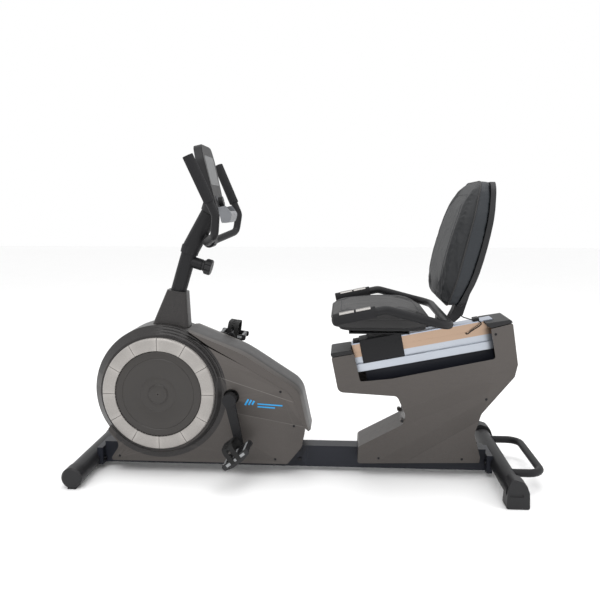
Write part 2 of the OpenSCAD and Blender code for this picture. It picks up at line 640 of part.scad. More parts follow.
module disc_covers() {
  color([0.13, 0.12, 0.11]) both_sides() difference() {
    union() {
      cross_bar([disc_x, disc_z], trim_r - 45, -disc_y, -drum_side);
      cross_bar([disc_x, disc_z], 32, -disc_y - 2, -drum_side);
    }
    cross_bar([disc_x, disc_z], trim_r - 49, -disc_y + 3, 0);
  }
}
module trim_rings() {
  color([0.66, 0.63, 0.6]) both_sides() difference() {
    cross_bar([disc_x, disc_z], trim_r, -ring_y, -drum_side);
    cross_bar([disc_x, disc_z], trim_r - 44.8, -ring_y - 1, 0);
    for (a = [0:30:330]) translate([disc_x, -ring_y - 0.5, disc_z]) rotate([0, a, 0])
      translate([trim_r - 50, 0, -0.6]) cube([60, 1.5, 1.2]);
  }
}

boot_top = mast_at(566);
module mast_boot() {
  color([0.17, 0.17, 0.18]) difference() {
    hull() {
      translate([disc_x + 21, 0, front_top - 34]) linear_extrude(2) polygon(rounded([[-70, -46, 20], [70, -46, 26], [70, 46, 26], [-70, 46, 20]]));
      translate([boot_top.x, 0, boot_top.y]) rotate([0, 8, 0]) linear_extrude(4) polygon(rounded([[-mast_r - 8, -mast_r - 8, 16], [mast_r + 7, -mast_r - 8, 16], [mast_r + 7, mast_r + 8, 16], [-mast_r - 8, mast_r + 8, 16]]));
    }
    hull() {
      translate([disc_x + 21, 0, front_top - 35]) linear_extrude(2) polygon(rounded([[-66, -42, 18], [66, -42, 22], [66, 42, 22], [-66, 42, 18]]));
      translate([boot_top.x, 0, boot_top.y - 4]) rotate([0, 8, 0]) linear_extrude(4) polygon(rounded([[-mast_r - 4, -mast_r - 4, 14], [mast_r + 3, -mast_r - 4, 14], [mast_r + 3, mast_r + 4, 14], [-mast_r - 4, mast_r + 4, 14]]));
    }
    cross_bar([disc_x, disc_z], drum_r + slip_gap, -100, 100);
    mast_bar(300, 700, mast_r + 0.6);
  }
}

// ---- Mast, handlebar and console ----
boss_len = mast_r + 28;
module knob_frame() {
  p = mast_at(knob_along);
  translate([p.x, 0, p.y]) rotate([0, 90 + mast_lean, 0]) children();
}
module mast_post() {
  color([0.05, 0.05, 0.055]) difference() {
    union() {
      mast_bar(upright_top + 0.1, post_top, mast_r);
      knob_frame() cylinder(r = 20, h = boss_len);
    }
    mast_bar(upright_top - 1, post_top + 1, column_r + run_gap);
    mast_bar(post_top, post_top + 40, 60);
    knob_frame() cylinder(r = 5 + run_gap, h = boss_len + 1);
  }
}
module mast_knob() {
  color([0.06, 0.06, 0.06]) knob_frame() {
    translate([0, 0, column_r + slip_gap]) cylinder(r = 5, h = boss_len);
    translate([0, 0, boss_len + 1]) difference() {
      rotate_extrude() polygon([[0, 0], [18, 0], [20, 8], [27, 12], [28, 16], [28, 30], [25, 34], [0, 34]]);
      for (a = [0:60:300]) rotate([0, 0, a]) translate([33, 0, 10]) cylinder(r = 9, h = 30);
    }
  }
}
module mast_column() {
  color([0.05, 0.05, 0.055]) difference() {
    union() {
      mast_bar(column_low, column_bend, column_r);
      head_bar(bend_shift, head_len, column_r);
      mast_bar(post_top + slip_gap, post_top + 26, mast_r + 4);
      head_bar(20, head_len - 30, cover_r);
    }
    mast_bar(column_low - 1, column_bend - 20, column_r - tube_wall);
    head_bar(bend_shift + 20, head_len + 1, column_r - tube_wall);
  }
}

function head_out(t, d) = head_at(t) + d * [cos(head_lean), -sin(head_lean)];
bar_at = head_out(bar_along, bar_out);
arm_y = handlebar_w / 2;
bar_path = [[bar_at.x - 14, -arm_y - 15, bar_at.y + 270], [bar_at.x + 64, -arm_y + 5, bar_at.y + 92],
            [bar_at.x + 56, -arm_y + 22, bar_at.y + 28], [bar_at.x, -70, bar_at.y],
            [bar_at.x, 70, bar_at.y], [bar_at.x + 56, arm_y - 22, bar_at.y + 28],
            [bar_at.x + 64, arm_y - 5, bar_at.y + 92], [bar_at.x - 14, arm_y + 15, bar_at.y + 270]];
grip_len = 150;
module handlebar() {
  color([0.05, 0.05, 0.055]) swept_tube(bar_path, 32, bar_r, 2.5, [0.9, 0, 0.43]);
}
module handlebar_grips() {
  a = bar_path[0];
  d = unit(bar_path[1] - a);
  color([0.04, 0.04, 0.04]) both_sides() difference() {
    straight(a - 5 * d, a + grip_len * d, bar_r + 4);
    straight(a, a + (grip_len + 1) * d, bar_r + eps);
  }
}
module handlebar_clamp() {
  p = head_out(bar_along, cover_r - 8);
  color([0.05, 0.05, 0.055]) difference() {
    union() {
      cross_bar(bar_at, bar_r + 7, -28, 28);
      translate([p.x, -20, p.y]) rotate([0, head_lean, 0]) translate([0, 0, -16]) cube([bar_out - cover_r + 8, 40, 32]);
    }
    cross_bar(bar_at, bar_r + eps, -40, 40);
    head_bar(10, head_len, cover_r + eps);
    translate([bar_at.x, -30, bar_at.y]) rotate([0, head_lean, 0]) translate([0, 0, -1]) cube([40, 60, 2]);
  }
}

face_lean = 13;
console_foot = [head_at(head_len).x + 27, head_at(head_len).y - 23];
console_h = 233;
console_w = 200;
console_t = 26;
module on_console() {
  translate([console_foot.x, 0, console_foot.y]) rotate([0, -face_lean, 0]) children();
}
// Outline in y-z, extruded along the face normal from a to b
module console_slab(pts, a, b) {
  translate([a, 0, 0]) rotate([90, 0, 90]) linear_extrude(b - a) polygon(pts);
}
console_outline = [[-76, 0, 26], [76, 0, 26], [console_w / 2, console_h - 50, 60], [console_w / 2 - 16, console_h, 28],
                   [-console_w / 2 + 16, console_h, 28], [-console_w / 2, console_h - 50, 60]];
screen_outline = [[-70, 96, 8], [70, 96, 8], [74, 196, 10], [-74, 196, 10]];
dial_z = 38;
button_y = 44;
module console_housing() {
  color([0.06, 0.06, 0.065]) difference() {
    union() {
      on_console() difference() {
        console_slab(rounded(console_outline), -console_t, 0);
        console_slab(rounded(inset(console_outline, 3)), -console_t + 3, 1);
      }
      difference() {
        hull() {
          on_console() translate([-console_t, -40, 10]) cube([3, 80, 70]);
          translate([head_at(head_len - 28).x, 0, head_at(head_len - 28).y]) rotate([0, head_lean, 0])
            cylinder(r = cover_r + 3, h = 26, $fn = 32);
        }
        on_console() translate([-console_t + 1, -60, 0]) cube([60, 120, 200]);
      }
    }
    head_bar(head_len - 80, head_len + 2, column_r + eps);
    head_bar(head_len - 80, head_len - 29.9, cover_r + 0.1);
  }
}
module console_face() {
  color([0.25, 0.26, 0.27]) on_console() difference() {
    console_slab(rounded(inset(console_outline, 3.1)), -2, 2);
    console_slab(rounded(screen_outline), 0.5, 3);
    translate([-3, 0, dial_z]) rotate([0, 90, 0]) cylinder(r = 5 + run_gap, h = 10);
    for (y = [-button_y, button_y]) translate([-3, y, dial_z + 12]) rotate([0, 90, 0]) cylinder(r = 9 + run_gap + 0.05, h = 10);
  }
}
module console_screen() {
  color([0.1, 0.12, 0.14]) on_console() console_slab(rounded(inset(screen_outline, 0.1)), 0.5, 2);
}
module console_dial() {
  color([0.08, 0.08, 0.08]) on_console() translate([0, 0, dial_z]) rotate([0, 90, 0]) {
    translate([0, 0, -12]) cylinder(r = 5, h = 15);
    translate([0, 0, 2 + slip_gap]) difference() {
      cylinder(r = 17, h = 14);
      translate([-1, 8, 12.5]) cube([2, 12, 3]);
    }
  }
}
module console_button(y) {
  color([0.55, 0.56, 0.58]) on_console() translate([-7, y, dial_z + 12]) rotate([0, 90, 0]) cylinder(r = 9, h = 12);
}
module console_button_left() console_button(-button_y);
module console_button_right() console_button(button_y);
tray_pts = [[2.5, -30, 4], [30, -36, 16], [44, -8, 16], [30, 24, 12], [2.5, 26, 3]];
module console_tray() {
  color([0.5, 0.51, 0.52]) on_console() difference() {
    plate(rounded([for (p = tray_pts) [p[0], p[1] - 4, p[2]]]), -62, 62);
    plate(rounded([for (p = inset(tray_pts, 3)) [p[0], p[1] + 8, 5]]), -58, 58);
    translate([-1, -80, dial_z - 19]) cube([60, 160, 60]);
  }
}

// ---- Drive ----
module ring_on_y(at, r_out, r_in, y0, y1) {
  difference() {
    cross_bar(at, r_out, y0, y1);
    cross_bar(at, r_in, y0 - 1, y1 + 1);
  }
}
module shaft_bearings() {
  color([0.6, 0.6, 0.62]) for (at = [[disc_x, disc_z], [crank_x, crank_z]]) {
    ring_on_y(at, bearing_r, axle_r + run_gap, -housing_y, -housing_y + 12);
    ring_on_y(at, bearing_r, axle_r + run_gap, housing_y - 12, housing_y);
  }
}
module tension_motor() {
  p = mast_at(368);
  color([0.2, 0.2, 0.22]) {
    difference() {
      translate([p.x - 34, 4, p.y - 26]) cube([60, 56, 52]);
      mast_bar(200, 500, mast_r + eps);
    }
    cross_bar([p.x - 4, p.y], 9, 60, 66);
  }
}
// Outline of a loop round two circles, grown by grow
function belt_outline(grow) =
  let (ra = drive_pulley_r + grow, rb = small_pulley_r + grow, a = [crank_x, crank_z], b = [disc_x, disc_z],
       lean = atan2(b.y - a.y, b.x - a.x), open = acos((ra - rb) / norm(b - a)))
  concat([for (i = [0:48]) let (t = lean + open + (360 - 2 * open) * i / 48) a + ra * [cos(t), sin(t)]],
         [for (i = [0:16]) let (t = lean - open + 2 * open * i / 16) b + rb * [cos(t), sin(t)]]);
module drive_belt() {
  color([0.04, 0.04, 0.04]) difference() {
    plate(belt_outline(slip_gap + belt_thick), belt_y, belt_y + belt_w);
    plate(belt_outline(slip_gap), belt_y - 1, belt_y + belt_w + 1);
  }
}
module flywheel() {
  at = [disc_x, disc_z];
  color([0.5, 0.5, 0.52]) difference() {
    union() {
      ring_on_y(at, flywheel_r, flywheel_r - 26, flywheel_y, flywheel_y + flywheel_t);
      cross_bar(at, flywheel_r - 20, flywheel_y + 4, flywheel_y + flywheel_t - 4);
      cross_bar(at, 22, housing_y + 1, flywheel_y + flywheel_t + 3);
    }
    cross_bar(at, axle_r + eps, 0, 100);
    for (a = [0:60:300]) cross_bar(at + 60 * [cos(a), sin(a)], 16, 0, 100);
  }
}
module flywheel_axle() {
  at = [disc_x, disc_z];
  color([0.65, 0.65, 0.67]) {
    cross_bar(at, axle_r, belt_y, flywheel_y + flywheel_t + 8);
    difference() {
      cross_bar(at, small_pulley_r, belt_y, belt_y + belt_w);
      cross_bar(at, axle_r - 1, belt_y - 1, belt_y + belt_w + 1);
    }
  }
}
module magnet_arm() {
  a0 = magnet_pivot_a - 75;
  tilt = atan2(disc_z - magnet_pivot.y, disc_x - magnet_pivot.x);
  y0 = flywheel_y - 5;
  w = flywheel_t + 10;
  color([0.35, 0.35, 0.36]) difference() {
    union() {
      difference() {
        translate([disc_x, y0 + w, disc_z]) rotate([90, 0, 0]) rotate([0, 0, a0]) rotate_extrude(angle = 68)
          translate([flywheel_r - 22, 0]) difference() {
            square([30, w]);
            translate([-1, 3]) square([25, w - 6]);
          }
      }
      cross_bar(magnet_pivot, 11, y0, y0 + w);
      plate([magnet_pivot + 10 * [cos(tilt + 130), sin(tilt + 130)], magnet_pivot - 10 * [cos(tilt + 130), sin(tilt + 130)],
             [disc_x, disc_z] + (flywheel_r + 3) * [cos(a0 + 64), sin(a0 + 64)],
             [disc_x, disc_z] + (flywheel_r + 4) * [cos(a0 + 56), sin(a0 + 56)]], y0 + 1, y0 + w - 1);
    }
    cross_bar(magnet_pivot, magnet_pin_r + run_gap, 0, 100);
  }
}
module crank_axle() {
  color([0.55, 0.55, 0.57]) cross_bar([crank_x, crank_z], axle_r, -crank_y - crank_t, crank_y + crank_t);
}
module drive_pulley() {
  at = [crank_x, crank_z];
  color([0.2, 0.2, 0.21]) difference() {
    union() {
      ring_on_y(at, drive_pulley_r, drive_pulley_r - 8, belt_y, belt_y + belt_w);
      cross_bar(at, drive_pulley_r - 2, belt_y + 4, belt_y + belt_w - 4);
      cross_bar(at, 24, belt_y - 3, -housing_y - 1);
    }
    cross_bar(at, axle_r + eps, -100, 0);
    for (a = [30:60:330]) cross_bar(at + drive_pulley_r * 0.62 * [cos(a), sin(a)], 17, -100, 0);
  }
}

left_dir = [sin(crank_turn), -cos(crank_turn)];
function spindle_at(side) = [crank_x, crank_z] - side * crank_throw * left_dir;
module crank(side) {
  p = spindle_at(side);
  a = [crank_x, crank_z];
  d = unit(p - a);
  n = [-d.y, d.x];
  color([0.06, 0.06, 0.065]) mirror_y(side) {
    difference() {
      union() {
        cross_bar(a, 23, -crank_y - crank_t - 2, -crank_y + 16);
        cross_bar(p, 16, -crank_y - crank_t, -crank_y);
        plate([a + 17 * n, p + 13 * n, p - 13 * n, a - 17 * n], -crank_y - crank_t, -crank_y);
      }
      cross_bar(a, axle_r + eps, -crank_y - crank_t, 0);
      cross_bar(p, spindle_r + eps, -300, 0);
    }
    cross_bar(p, spindle_r, -pedal_y - pedal_w + 6, -crank_y - 2);
    ring_on_y(p, 10, spindle_r - 1, -pedal_y + 3, -crank_y - crank_t - 0.1);
  }
}
module crank_left() crank(-1);
module crank_right() crank(1);

// Pedal body drawn level about its spindle, then turned to its rest angle
pedal_tilt = [-38, 8];
module on_pedal(side) {
  p = spindle_at(side);
  mirror_y(side) translate([p.x, -pedal_y, p.y]) rotate([0, side < 0 ? pedal_tilt[0] : pedal_tilt[1], 0]) children();
}
module pedal(side) {
  color([0.08, 0.08, 0.085]) on_pedal(side) difference() {
    union() {
      for (y = [0, pedal_w - 7]) translate([0, -y, 0])
        plate(rounded([[-52, -9, 6], [-20, -17, 10], [20, -17, 10], [52, -9, 6], [52, 9, 6], [-52, 9, 6]]), -7, 0);
      for (x = [-46, 34]) translate([x, -pedal_w, -8]) cube([12, pedal_w, 16]);
      translate([-14, -pedal_w, -16]) cube([28, pedal_w, 24]);
    }
    cross_bar([0, 0], spindle_r + run_gap, -pedal_w + 5, 1);
  }
}
module pedal_left() pedal(-1);
module pedal_right() pedal(1);
module pedal_strap(side) {
  h = 52;
  o = [[-pedal_w - 3.2, -6, 0], [-pedal_w - 3.2, h, 24], [3.2, h, 24], [3.2, -6, 0]];
  i = [[-pedal_w - 0.2, -7, 0], [-pedal_w - 0.2, h - 3, 21], [0.2, h - 3, 21], [0.2, -7, 0]];
  color([0.05, 0.05, 0.05]) on_pedal(side) translate([-20, 0, 0]) rotate([90, 0, 90])
    difference() {
      linear_extrude(40) difference() { polygon(rounded(o)); polygon(rounded(i)); }
      translate([-1, 0, 20]) rotate([0, 90, 0]) cylinder(r = 12, h = 6);
    }
}
module pedal_strap_left() pedal_strap(-1);
module pedal_strap_right() pedal_strap(1);

// ---- Seat ----
cushion_low = 546;
pan_low = 534;
side_r = side_tube_d / 2;
side_y = seat_w / 2 + 66;
seat_x = rear_x - 800;
side_path = [[seat_x + 106, -side_y, 584], [seat_x + 262, -side_y, 617], [seat_x + 404, -side_y, 580],
             [seat_x + 460, -side_y, 567], [seat_x + 460, side_y, 567], [seat_x + 404, side_y, 580],
             [seat_x + 262, side_y, 617], [seat_x + 106, side_y, 584]];
upright_pts = [rail_at(338, 10), rail_at(358, 10), [seat_x + 536, 566], [seat_x + 604, 790], [seat_x + 580, 796],
               [seat_x + 502, 580], [seat_x + 490, 556], [seat_x + 478, 552]];
shell_rear = arc3([seat_x + 512, 610], [seat_x + 566, 765], [seat_x + 606, 1008]);
shell_front = arc3([seat_x + 494, 610], [seat_x + 548, 765], [seat_x + 590, 1008]);
pad_front = arc3([seat_x + 437, 640], [seat_x + 468, 800], [seat_x + 532, 985]);
lever_pivot = [seat_x + 316, 503.5];
lever_r = 6;
lever_y = seat_w / 2 + 24;

module seat_frame() {
  color([0.06, 0.06, 0.065]) {
    difference() {
      union() {
        difference() {
          translate([seat_x + 150, -110, pedestal_top + eps]) cube([200, 220, pan_low - pedestal_top - 2 * eps]);
          translate([seat_x + 154, -111, pedestal_top + 4]) cube([192, 222, pan_low - pedestal_top - 8]);
        }
        plate([rail_at(150, 10), rail_at(358, 10), rail_at(358, 22), rail_at(150, 22)], -25, 25);
        plate(upright_pts, -25, 25);
        translate([seat_x + 449, -25, 528]) cube([22, 50, 39]);
        for (y = [50, 92]) plate([[seat_x + 300, pedestal_top + 2], [seat_x + 334, pedestal_top + 2],
                                  lever_pivot + [10, -9], lever_pivot + [-10, -9]], y, y + 8);
      }
      cross_bar([seat_x + 460, 567], side_r + slip_gap, -60, 60);
      cross_bar(lever_pivot, lever_r + run_gap, 0, 200);
      cross_bar([seat_x + 530, 562.7], cable_r + 1.4, -26, -18);
      along_rail([[-19, -6], [19, -6], [19, 9.5], [-19, 9.5]], carriage_b + 1, rail_len);
      plate(concat([for (p = shell_rear) p + [0.05, 0]], [[seat_x + 400, 1008], [seat_x + 400, 610]]), -30, 30);
      plate([[seat_x + 150, pan_low], [seat_x + 405, pan_low], [seat_x + 405, 548], [seat_x + 150, 548]], -180, 180);
    }
    swept_tube(side_path, 46, side_r, 2.5, [0, 0, 1]);
  }
}
module seat_lever() {
  tip = [seat_x + 176, 566];
  d = unit(tip - lever_pivot);
  n = [-d.y, d.x];
  color([0.05, 0.05, 0.05]) {
    cross_bar(lever_pivot, lever_r, 46, lever_y + 4);
    plate([lever_pivot + 7 * n, tip + 5 * n, tip - 5 * n, lever_pivot - 7 * n], lever_y - 4, lever_y + 4);
    cross_bar(tip, 11, lever_y - 9, lever_y + 9);
  }
}
module seat_plan(low, high, x0, x1, w, front_r, rear_r) {
  translate([0, 0, low]) linear_extrude(high - low)
    polygon(rounded([[x0, -w, front_r], [x1, -w, rear_r], [x1, w, rear_r], [x0, w, front_r]], 8));
}
module seat_pan() {
  color([0.05, 0.05, 0.05]) seat_plan(pan_low + eps, cushion_low - eps, seat_x + 118, seat_x + 402, seat_w / 2 - 26, 50, 60);
}
module seat_cushion() {
  top = cushion_low + seat_thick;
  color([0.09, 0.09, 0.1]) intersection() {
    seat_plan(cushion_low, top + 5, seat_x + 88, seat_x + 416, seat_w / 2, 62, 88);
    plate(rounded([[seat_x + 96, cushion_low, 14], [seat_x + 88, top - 12, 22], [seat_x + 250, top + 2, 200],
                   [seat_x + 372, top, 40], [seat_x + 418, cushion_low + 26, 16], [seat_x + 396, cushion_low, 12]]),
          -seat_w, seat_w);
  }
}
// Front view of the backrest
module back_view(grow) {
  w = back_w / 2 + grow;
  translate([seat_x + 350, 0, 0]) rotate([90, 0, 90]) linear_extrude(350)
    polygon(rounded([[-w + 50, 610 - grow, 40], [-w, 700, 110], [-w + 6, 900, 160], [-w + 52, 1014 + grow, 70],
                     [w - 52, 1014 + grow, 70], [w - 6, 900, 160], [w, 700, 110], [w - 50, 610 - grow, 40]], 6));
}
module back_shell() {
  color([0.1, 0.1, 0.11]) intersection() {
    back_view(0);
    plate(concat(shell_rear, [for (i = [len(shell_front) - 1:-1:0]) shell_front[i]]), -back_w, back_w);
  }
}
module back_cushion() {
  color([0.1, 0.11, 0.12]) intersection() {
    back_view(-3);
    plate(concat([for (p = shell_front) p - [slip_gap, 0]], [[seat_x + 562, 1012]],
                 [for (i = [len(pad_front) - 1:-1:0]) pad_front[i]], [[seat_x + 446, 616]]), -back_w, back_w);
  }
}
side_grip = 128;
function side_dir() = unit(side_path[1] - side_path[0]);
module seat_grips() {
  a = side_path[0];
  d = side_dir();
  color([0.04, 0.04, 0.04]) both_sides() difference() {
    straight(a - 5 * d, a + side_grip * d, side_r + 4);
    straight(a, a + (side_grip + 1) * d, side_r + eps);
  }
}
module pulse_plates() {
  a = side_path[0];
  d = side_dir();
  color([0.75, 0.75, 0.76]) both_sides() for (part = [[16, 62], [68, 114]]) difference() {
    straight(a + part[0] * d, a + part[1] * d, side_r + 5.5);
    straight(a + (part[0] - 1) * d, a + (part[1] + 1) * d, side_r + 4 + eps);
    translate([a.x - 30, -side_y - 30, a.z]) rotate([0, -atan2(d.z, d.x), 0]) translate([0, 0, -40]) cube([240, 60, 47]);
  }
}

// Sensor cable from the backrest upright, over the shroud's rear cap edge and down into the rail
cable_r = 2;
cable_pts = [[530, -22, 563], [532, -27, 562], [538, -31, 559], [548, -33, 556], [559, -34, 553], [570, -35, 551], [582, -36, 549],
             [590, -38, 547], [595, -40, 543], [595, -41, 538], [590, -41, 532], [582, -40, 526], [573, -39, 520],
             [565, -38, 514], [558, -37, 508], [553, -34, 503], [550, -28, 501], [550, -20, 501]];
function cable_ring(i) =
  let (k = len(cable_pts), a = cable_pts[max(i - 1, 0)], b = cable_pts[min(i + 1, k - 1)],
       d = unit(b - a), u = unit(cross(d, [1, 0.2, 1])), v = cross(d, u))
  [for (j = [0:7]) cable_pts[i] + [seat_x, 0, 0] + cable_r * (u * cos(45 * j) - v * sin(45 * j))];
module sensor_cable() {
  color([0.03, 0.03, 0.03]) skin([for (i = [0:len(cable_pts) - 1]) cable_ring(i)]);
}

front_frame();
rear_frame();
frame_bolts();
front_stabilizer();
front_caps();
rear_stabilizer();
rear_feet();
lift_handle();
seat_rail();
rail_stops();
rear_shroud_left();
rear_shroud_right();
rear_shroud_caps();
shroud_screws();
front_shroud_left();
front_shroud_right();
front_shroud_band();
disc_covers();
trim_rings();
mast_boot();
mast_post();
shaft_bearings();
tension_motor();
drive_belt();
transport_wheel_left();
transport_wheel_right();
magnet_arm();
flywheel();
flywheel_axle();
crank_axle();
drive_pulley();
crank_left();
crank_right();
pedal_left();
pedal_right();
pedal_strap_left();
pedal_strap_right();
mast_column();
handlebar();
handlebar_clamp();
handlebar_grips();
console_housing();
console_face();
console_screen();
console_dial();
console_button_left();
console_button_right();
console_tray();
mast_knob();
carriage();
carriage_glides();
seat_lever();
seat_frame();
seat_pan();
seat_cushion();
back_shell();
back_cushion();
seat_grips();
pulse_plates();
sensor_cable();
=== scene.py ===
# %% [markdown]
# # A recumbent exercise bike
# The bike has a disc-shaped drive housing at the front, a console on a leaning mast, and a padded seat
# that slides on a sloping rail. Its solids come from the CAD model, already in metres and in one shared
# frame: +X to the rear, +Y to the rider's right, +Z up. This lesson dresses them: each solid gets rounded
# edges and a procedural finish, and the cushions, discs, trim and small fittings are built here as meshes.

import json
import math

import bmesh
import bpy
import numpy as np
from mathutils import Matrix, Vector
from mathutils.bvhtree import BVHTree


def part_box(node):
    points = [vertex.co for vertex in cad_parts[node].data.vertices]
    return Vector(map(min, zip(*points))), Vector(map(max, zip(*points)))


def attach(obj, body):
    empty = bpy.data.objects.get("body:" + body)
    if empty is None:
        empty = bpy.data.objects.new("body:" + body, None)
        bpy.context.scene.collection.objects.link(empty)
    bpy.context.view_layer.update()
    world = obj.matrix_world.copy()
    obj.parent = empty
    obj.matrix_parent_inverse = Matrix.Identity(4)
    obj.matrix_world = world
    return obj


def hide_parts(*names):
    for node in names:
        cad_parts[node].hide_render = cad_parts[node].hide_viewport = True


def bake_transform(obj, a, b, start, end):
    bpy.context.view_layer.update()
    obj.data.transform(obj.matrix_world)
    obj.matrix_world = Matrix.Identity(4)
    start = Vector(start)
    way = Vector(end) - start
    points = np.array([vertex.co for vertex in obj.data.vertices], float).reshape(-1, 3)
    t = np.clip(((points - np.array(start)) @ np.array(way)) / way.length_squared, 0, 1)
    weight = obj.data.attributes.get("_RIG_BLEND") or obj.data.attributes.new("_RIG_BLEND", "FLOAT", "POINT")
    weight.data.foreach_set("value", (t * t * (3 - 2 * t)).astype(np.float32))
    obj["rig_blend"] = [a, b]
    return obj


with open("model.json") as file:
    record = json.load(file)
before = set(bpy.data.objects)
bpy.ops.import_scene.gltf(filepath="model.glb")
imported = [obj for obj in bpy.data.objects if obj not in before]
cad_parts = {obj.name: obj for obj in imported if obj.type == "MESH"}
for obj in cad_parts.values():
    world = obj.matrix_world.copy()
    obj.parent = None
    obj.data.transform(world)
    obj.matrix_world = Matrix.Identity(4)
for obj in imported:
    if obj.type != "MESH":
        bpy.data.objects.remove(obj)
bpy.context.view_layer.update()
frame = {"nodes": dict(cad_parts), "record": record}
nodes = frame["nodes"]
body_of = {n: b for b, members in frame["record"]["behaviour"]["bodies"].items() for n in members}
slot_of = {s["node"]: s["material_slot"] for s in frame["record"]["subparts"]}

# %% [markdown]
# ## The camera
# A camera is a point, a direction and a lens. The viewpoint stands at the bike's left, a little above the
# seat, and looks slightly down and slightly towards the front. A 41 mm lens on a 36 mm sensor gives the
# soft perspective of a product picture. It is set first, so that each piece can be judged as it is made.

# %% Aim the camera
eye = Vector((0.1335, -2.352, 0.9261))
yaw = math.radians(3.7305)
pitch = math.radians(7.6605)
ahead = Vector((-math.sin(yaw) * math.cos(pitch), math.cos(yaw) * math.cos(pitch), -math.sin(pitch)))
lens = bpy.data.cameras.new("view")
lens.sensor_width = 36
lens.lens = 36 * 684 / 600
camera = bpy.data.objects.new("view", lens)
camera.location = eye
camera.rotation_euler = ahead.to_track_quat("-Z", "Y").to_euler()
bpy.context.scene.collection.objects.link(camera)
bpy.context.scene.camera = camera
print("camera at", [round(c, 3) for c in eye])

# %% [markdown]
# ## Shader maths as expressions
# A finish is a small program that runs at every point of a surface. Wiring nodes by hand hides that
# program, so one class wraps an output socket and turns +, -, * and / into Math nodes. `1 - mask` then
# works as written. A second class holds a material and adds any other node from its type, its settings and
# its socket values.

# %% A socket that can be used in expressions
class Value:
    """One output socket; arithmetic on it adds Math nodes to the same finish."""

    def __init__(self, finish, socket):
        self.finish = finish
        self.socket = socket

    def maths(self, operation, *terms):
        return self.finish.node("ShaderNodeMath", {"operation": operation}, dict(enumerate(terms)))

    def __add__(self, other):
        return self.maths("ADD", self, other)

    def __radd__(self, other):
        return self.maths("ADD", other, self)

    def __sub__(self, other):
        return self.maths("SUBTRACT", self, other)

    def __rsub__(self, other):
        return self.maths("SUBTRACT", other, self)

    def __mul__(self, other):
        return self.maths("MULTIPLY", self, other)

    def __rmul__(self, other):
        return self.maths("MULTIPLY", other, self)

    def __truediv__(self, other):
        return self.maths("DIVIDE", self, other)

    def __rtruediv__(self, other):
        return self.maths("DIVIDE", other, self)

    def step(self, low, high):
        """0 below low, 1 above high, and a smooth rise between them."""
        settings = {"interpolation_type": "SMOOTHSTEP"}
        ends = {"Value": self, "From Min": low, "From Max": high}
        return self.finish.node("ShaderNodeMapRange", settings, ends)

    def at_least(self, low):
        return self.maths("MAXIMUM", self, low)

    def at_most(self, high):
        return self.maths("MINIMUM", self, high)


# %% A finish: one material and its nodes
class Finish:
    """A material under construction, with a Principled shader whose sockets are set by name."""

    def __init__(self, name):
        self.material = bpy.data.materials.new(name)
        self.material.use_nodes = True
        self.tree = self.material.node_tree
        self.tree.nodes.clear()
        self.shader = self.tree.nodes.new("ShaderNodeBsdfPrincipled")
        output = self.tree.nodes.new("ShaderNodeOutputMaterial")
        self.tree.links.new(self.shader.outputs[0], output.inputs["Surface"])
        self.place = self.node("ShaderNodeTexCoord", {}, {}, "Object")

    def put(self, socket, value):
        if isinstance(value, Value):
            self.tree.links.new(value.socket, socket)
        else:
            socket.default_value = value

    def node(self, kind, settings, sockets, out=0):
        node = self.tree.nodes.new(kind)
        for key, setting in settings.items():
            setattr(node, key, setting)
        for key, value in sockets.items():
            self.put(node.inputs[key], value)
        return Value(self, node.outputs[out])

    def set(self, **sockets):
        for key, value in sockets.items():
            self.put(self.shader.inputs[key.replace("_", " ")], value)
        return self

    def mix(self, factor, low, high):
        """A colour between low and high; both are (r, g, b) or a colour from another node."""
        ends = [c if isinstance(c, Value) else (*c, 1) for c in (low, high)]
        return self.node("ShaderNodeMix", {"data_type": "RGBA"}, {0: factor, 6: ends[0], 7: ends[1]}, 2)

    def noise(self, scale, detail=2, stretch=None):
        sockets = {"Vector": self.stretched(stretch), "Scale": scale, "Detail": detail}
        return self.node("ShaderNodeTexNoise", {}, sockets)

    def cells(self, scale, stretch=None, out="Distance"):
        return self.node("ShaderNodeTexVoronoi", {}, {"Vector": self.stretched(stretch), "Scale": scale}, out)

    def stretched(self, stretch):
        if stretch is None:
            return self.place
        return self.node("ShaderNodeMapping", {}, {"Vector": self.place, "Scale": stretch})

    def axis(self, letter):
        return self.node("ShaderNodeSeparateXYZ", {}, {0: self.place}, letter)

    def band(self, value, low, high, soft=0.0006):
        """1 where value lies between low and high, with soft ends."""
        return value.step(low - soft, low + soft) * (1 - value.step(high - soft, high + soft))

    def radius(self):
        """Distance from the flywheel's axis."""
        across = self.axis("X") + 0.498
        up = self.axis("Z") - 0.296
        return (across * across + up * up).maths("SQRT", across * across + up * up)

    def edges(self):
        """1 on outer edges, where hands and shoes rub a finish first."""
        return self.node("ShaderNodeNewGeometry", {}, {}, "Pointiness").step(0.52, 0.6)

    def relief(self, height):
        """Turns a height in metres into the shading normal."""
        sockets = {"Strength": 1, "Distance": 1, "Height": height}
        return self.set(Normal=self.node("ShaderNodeBump", {}, sockets))


def tint(colour, gain):
    return tuple(min(1, c * gain) for c in colour)


# %% [markdown]
# ## The finishes
# Most of this bike is moulded plastic and powder-coated steel. Both are nearly black, so what tells them
# apart is their surface: moulded panels have a fine even grain, powder coat has a soft orange peel, and
# rubber is dull with a slight bloom. Each finish below has a broad change of tone, a fine relief at its
# real size in metres, a roughness that varies, and a little wear on the edges.

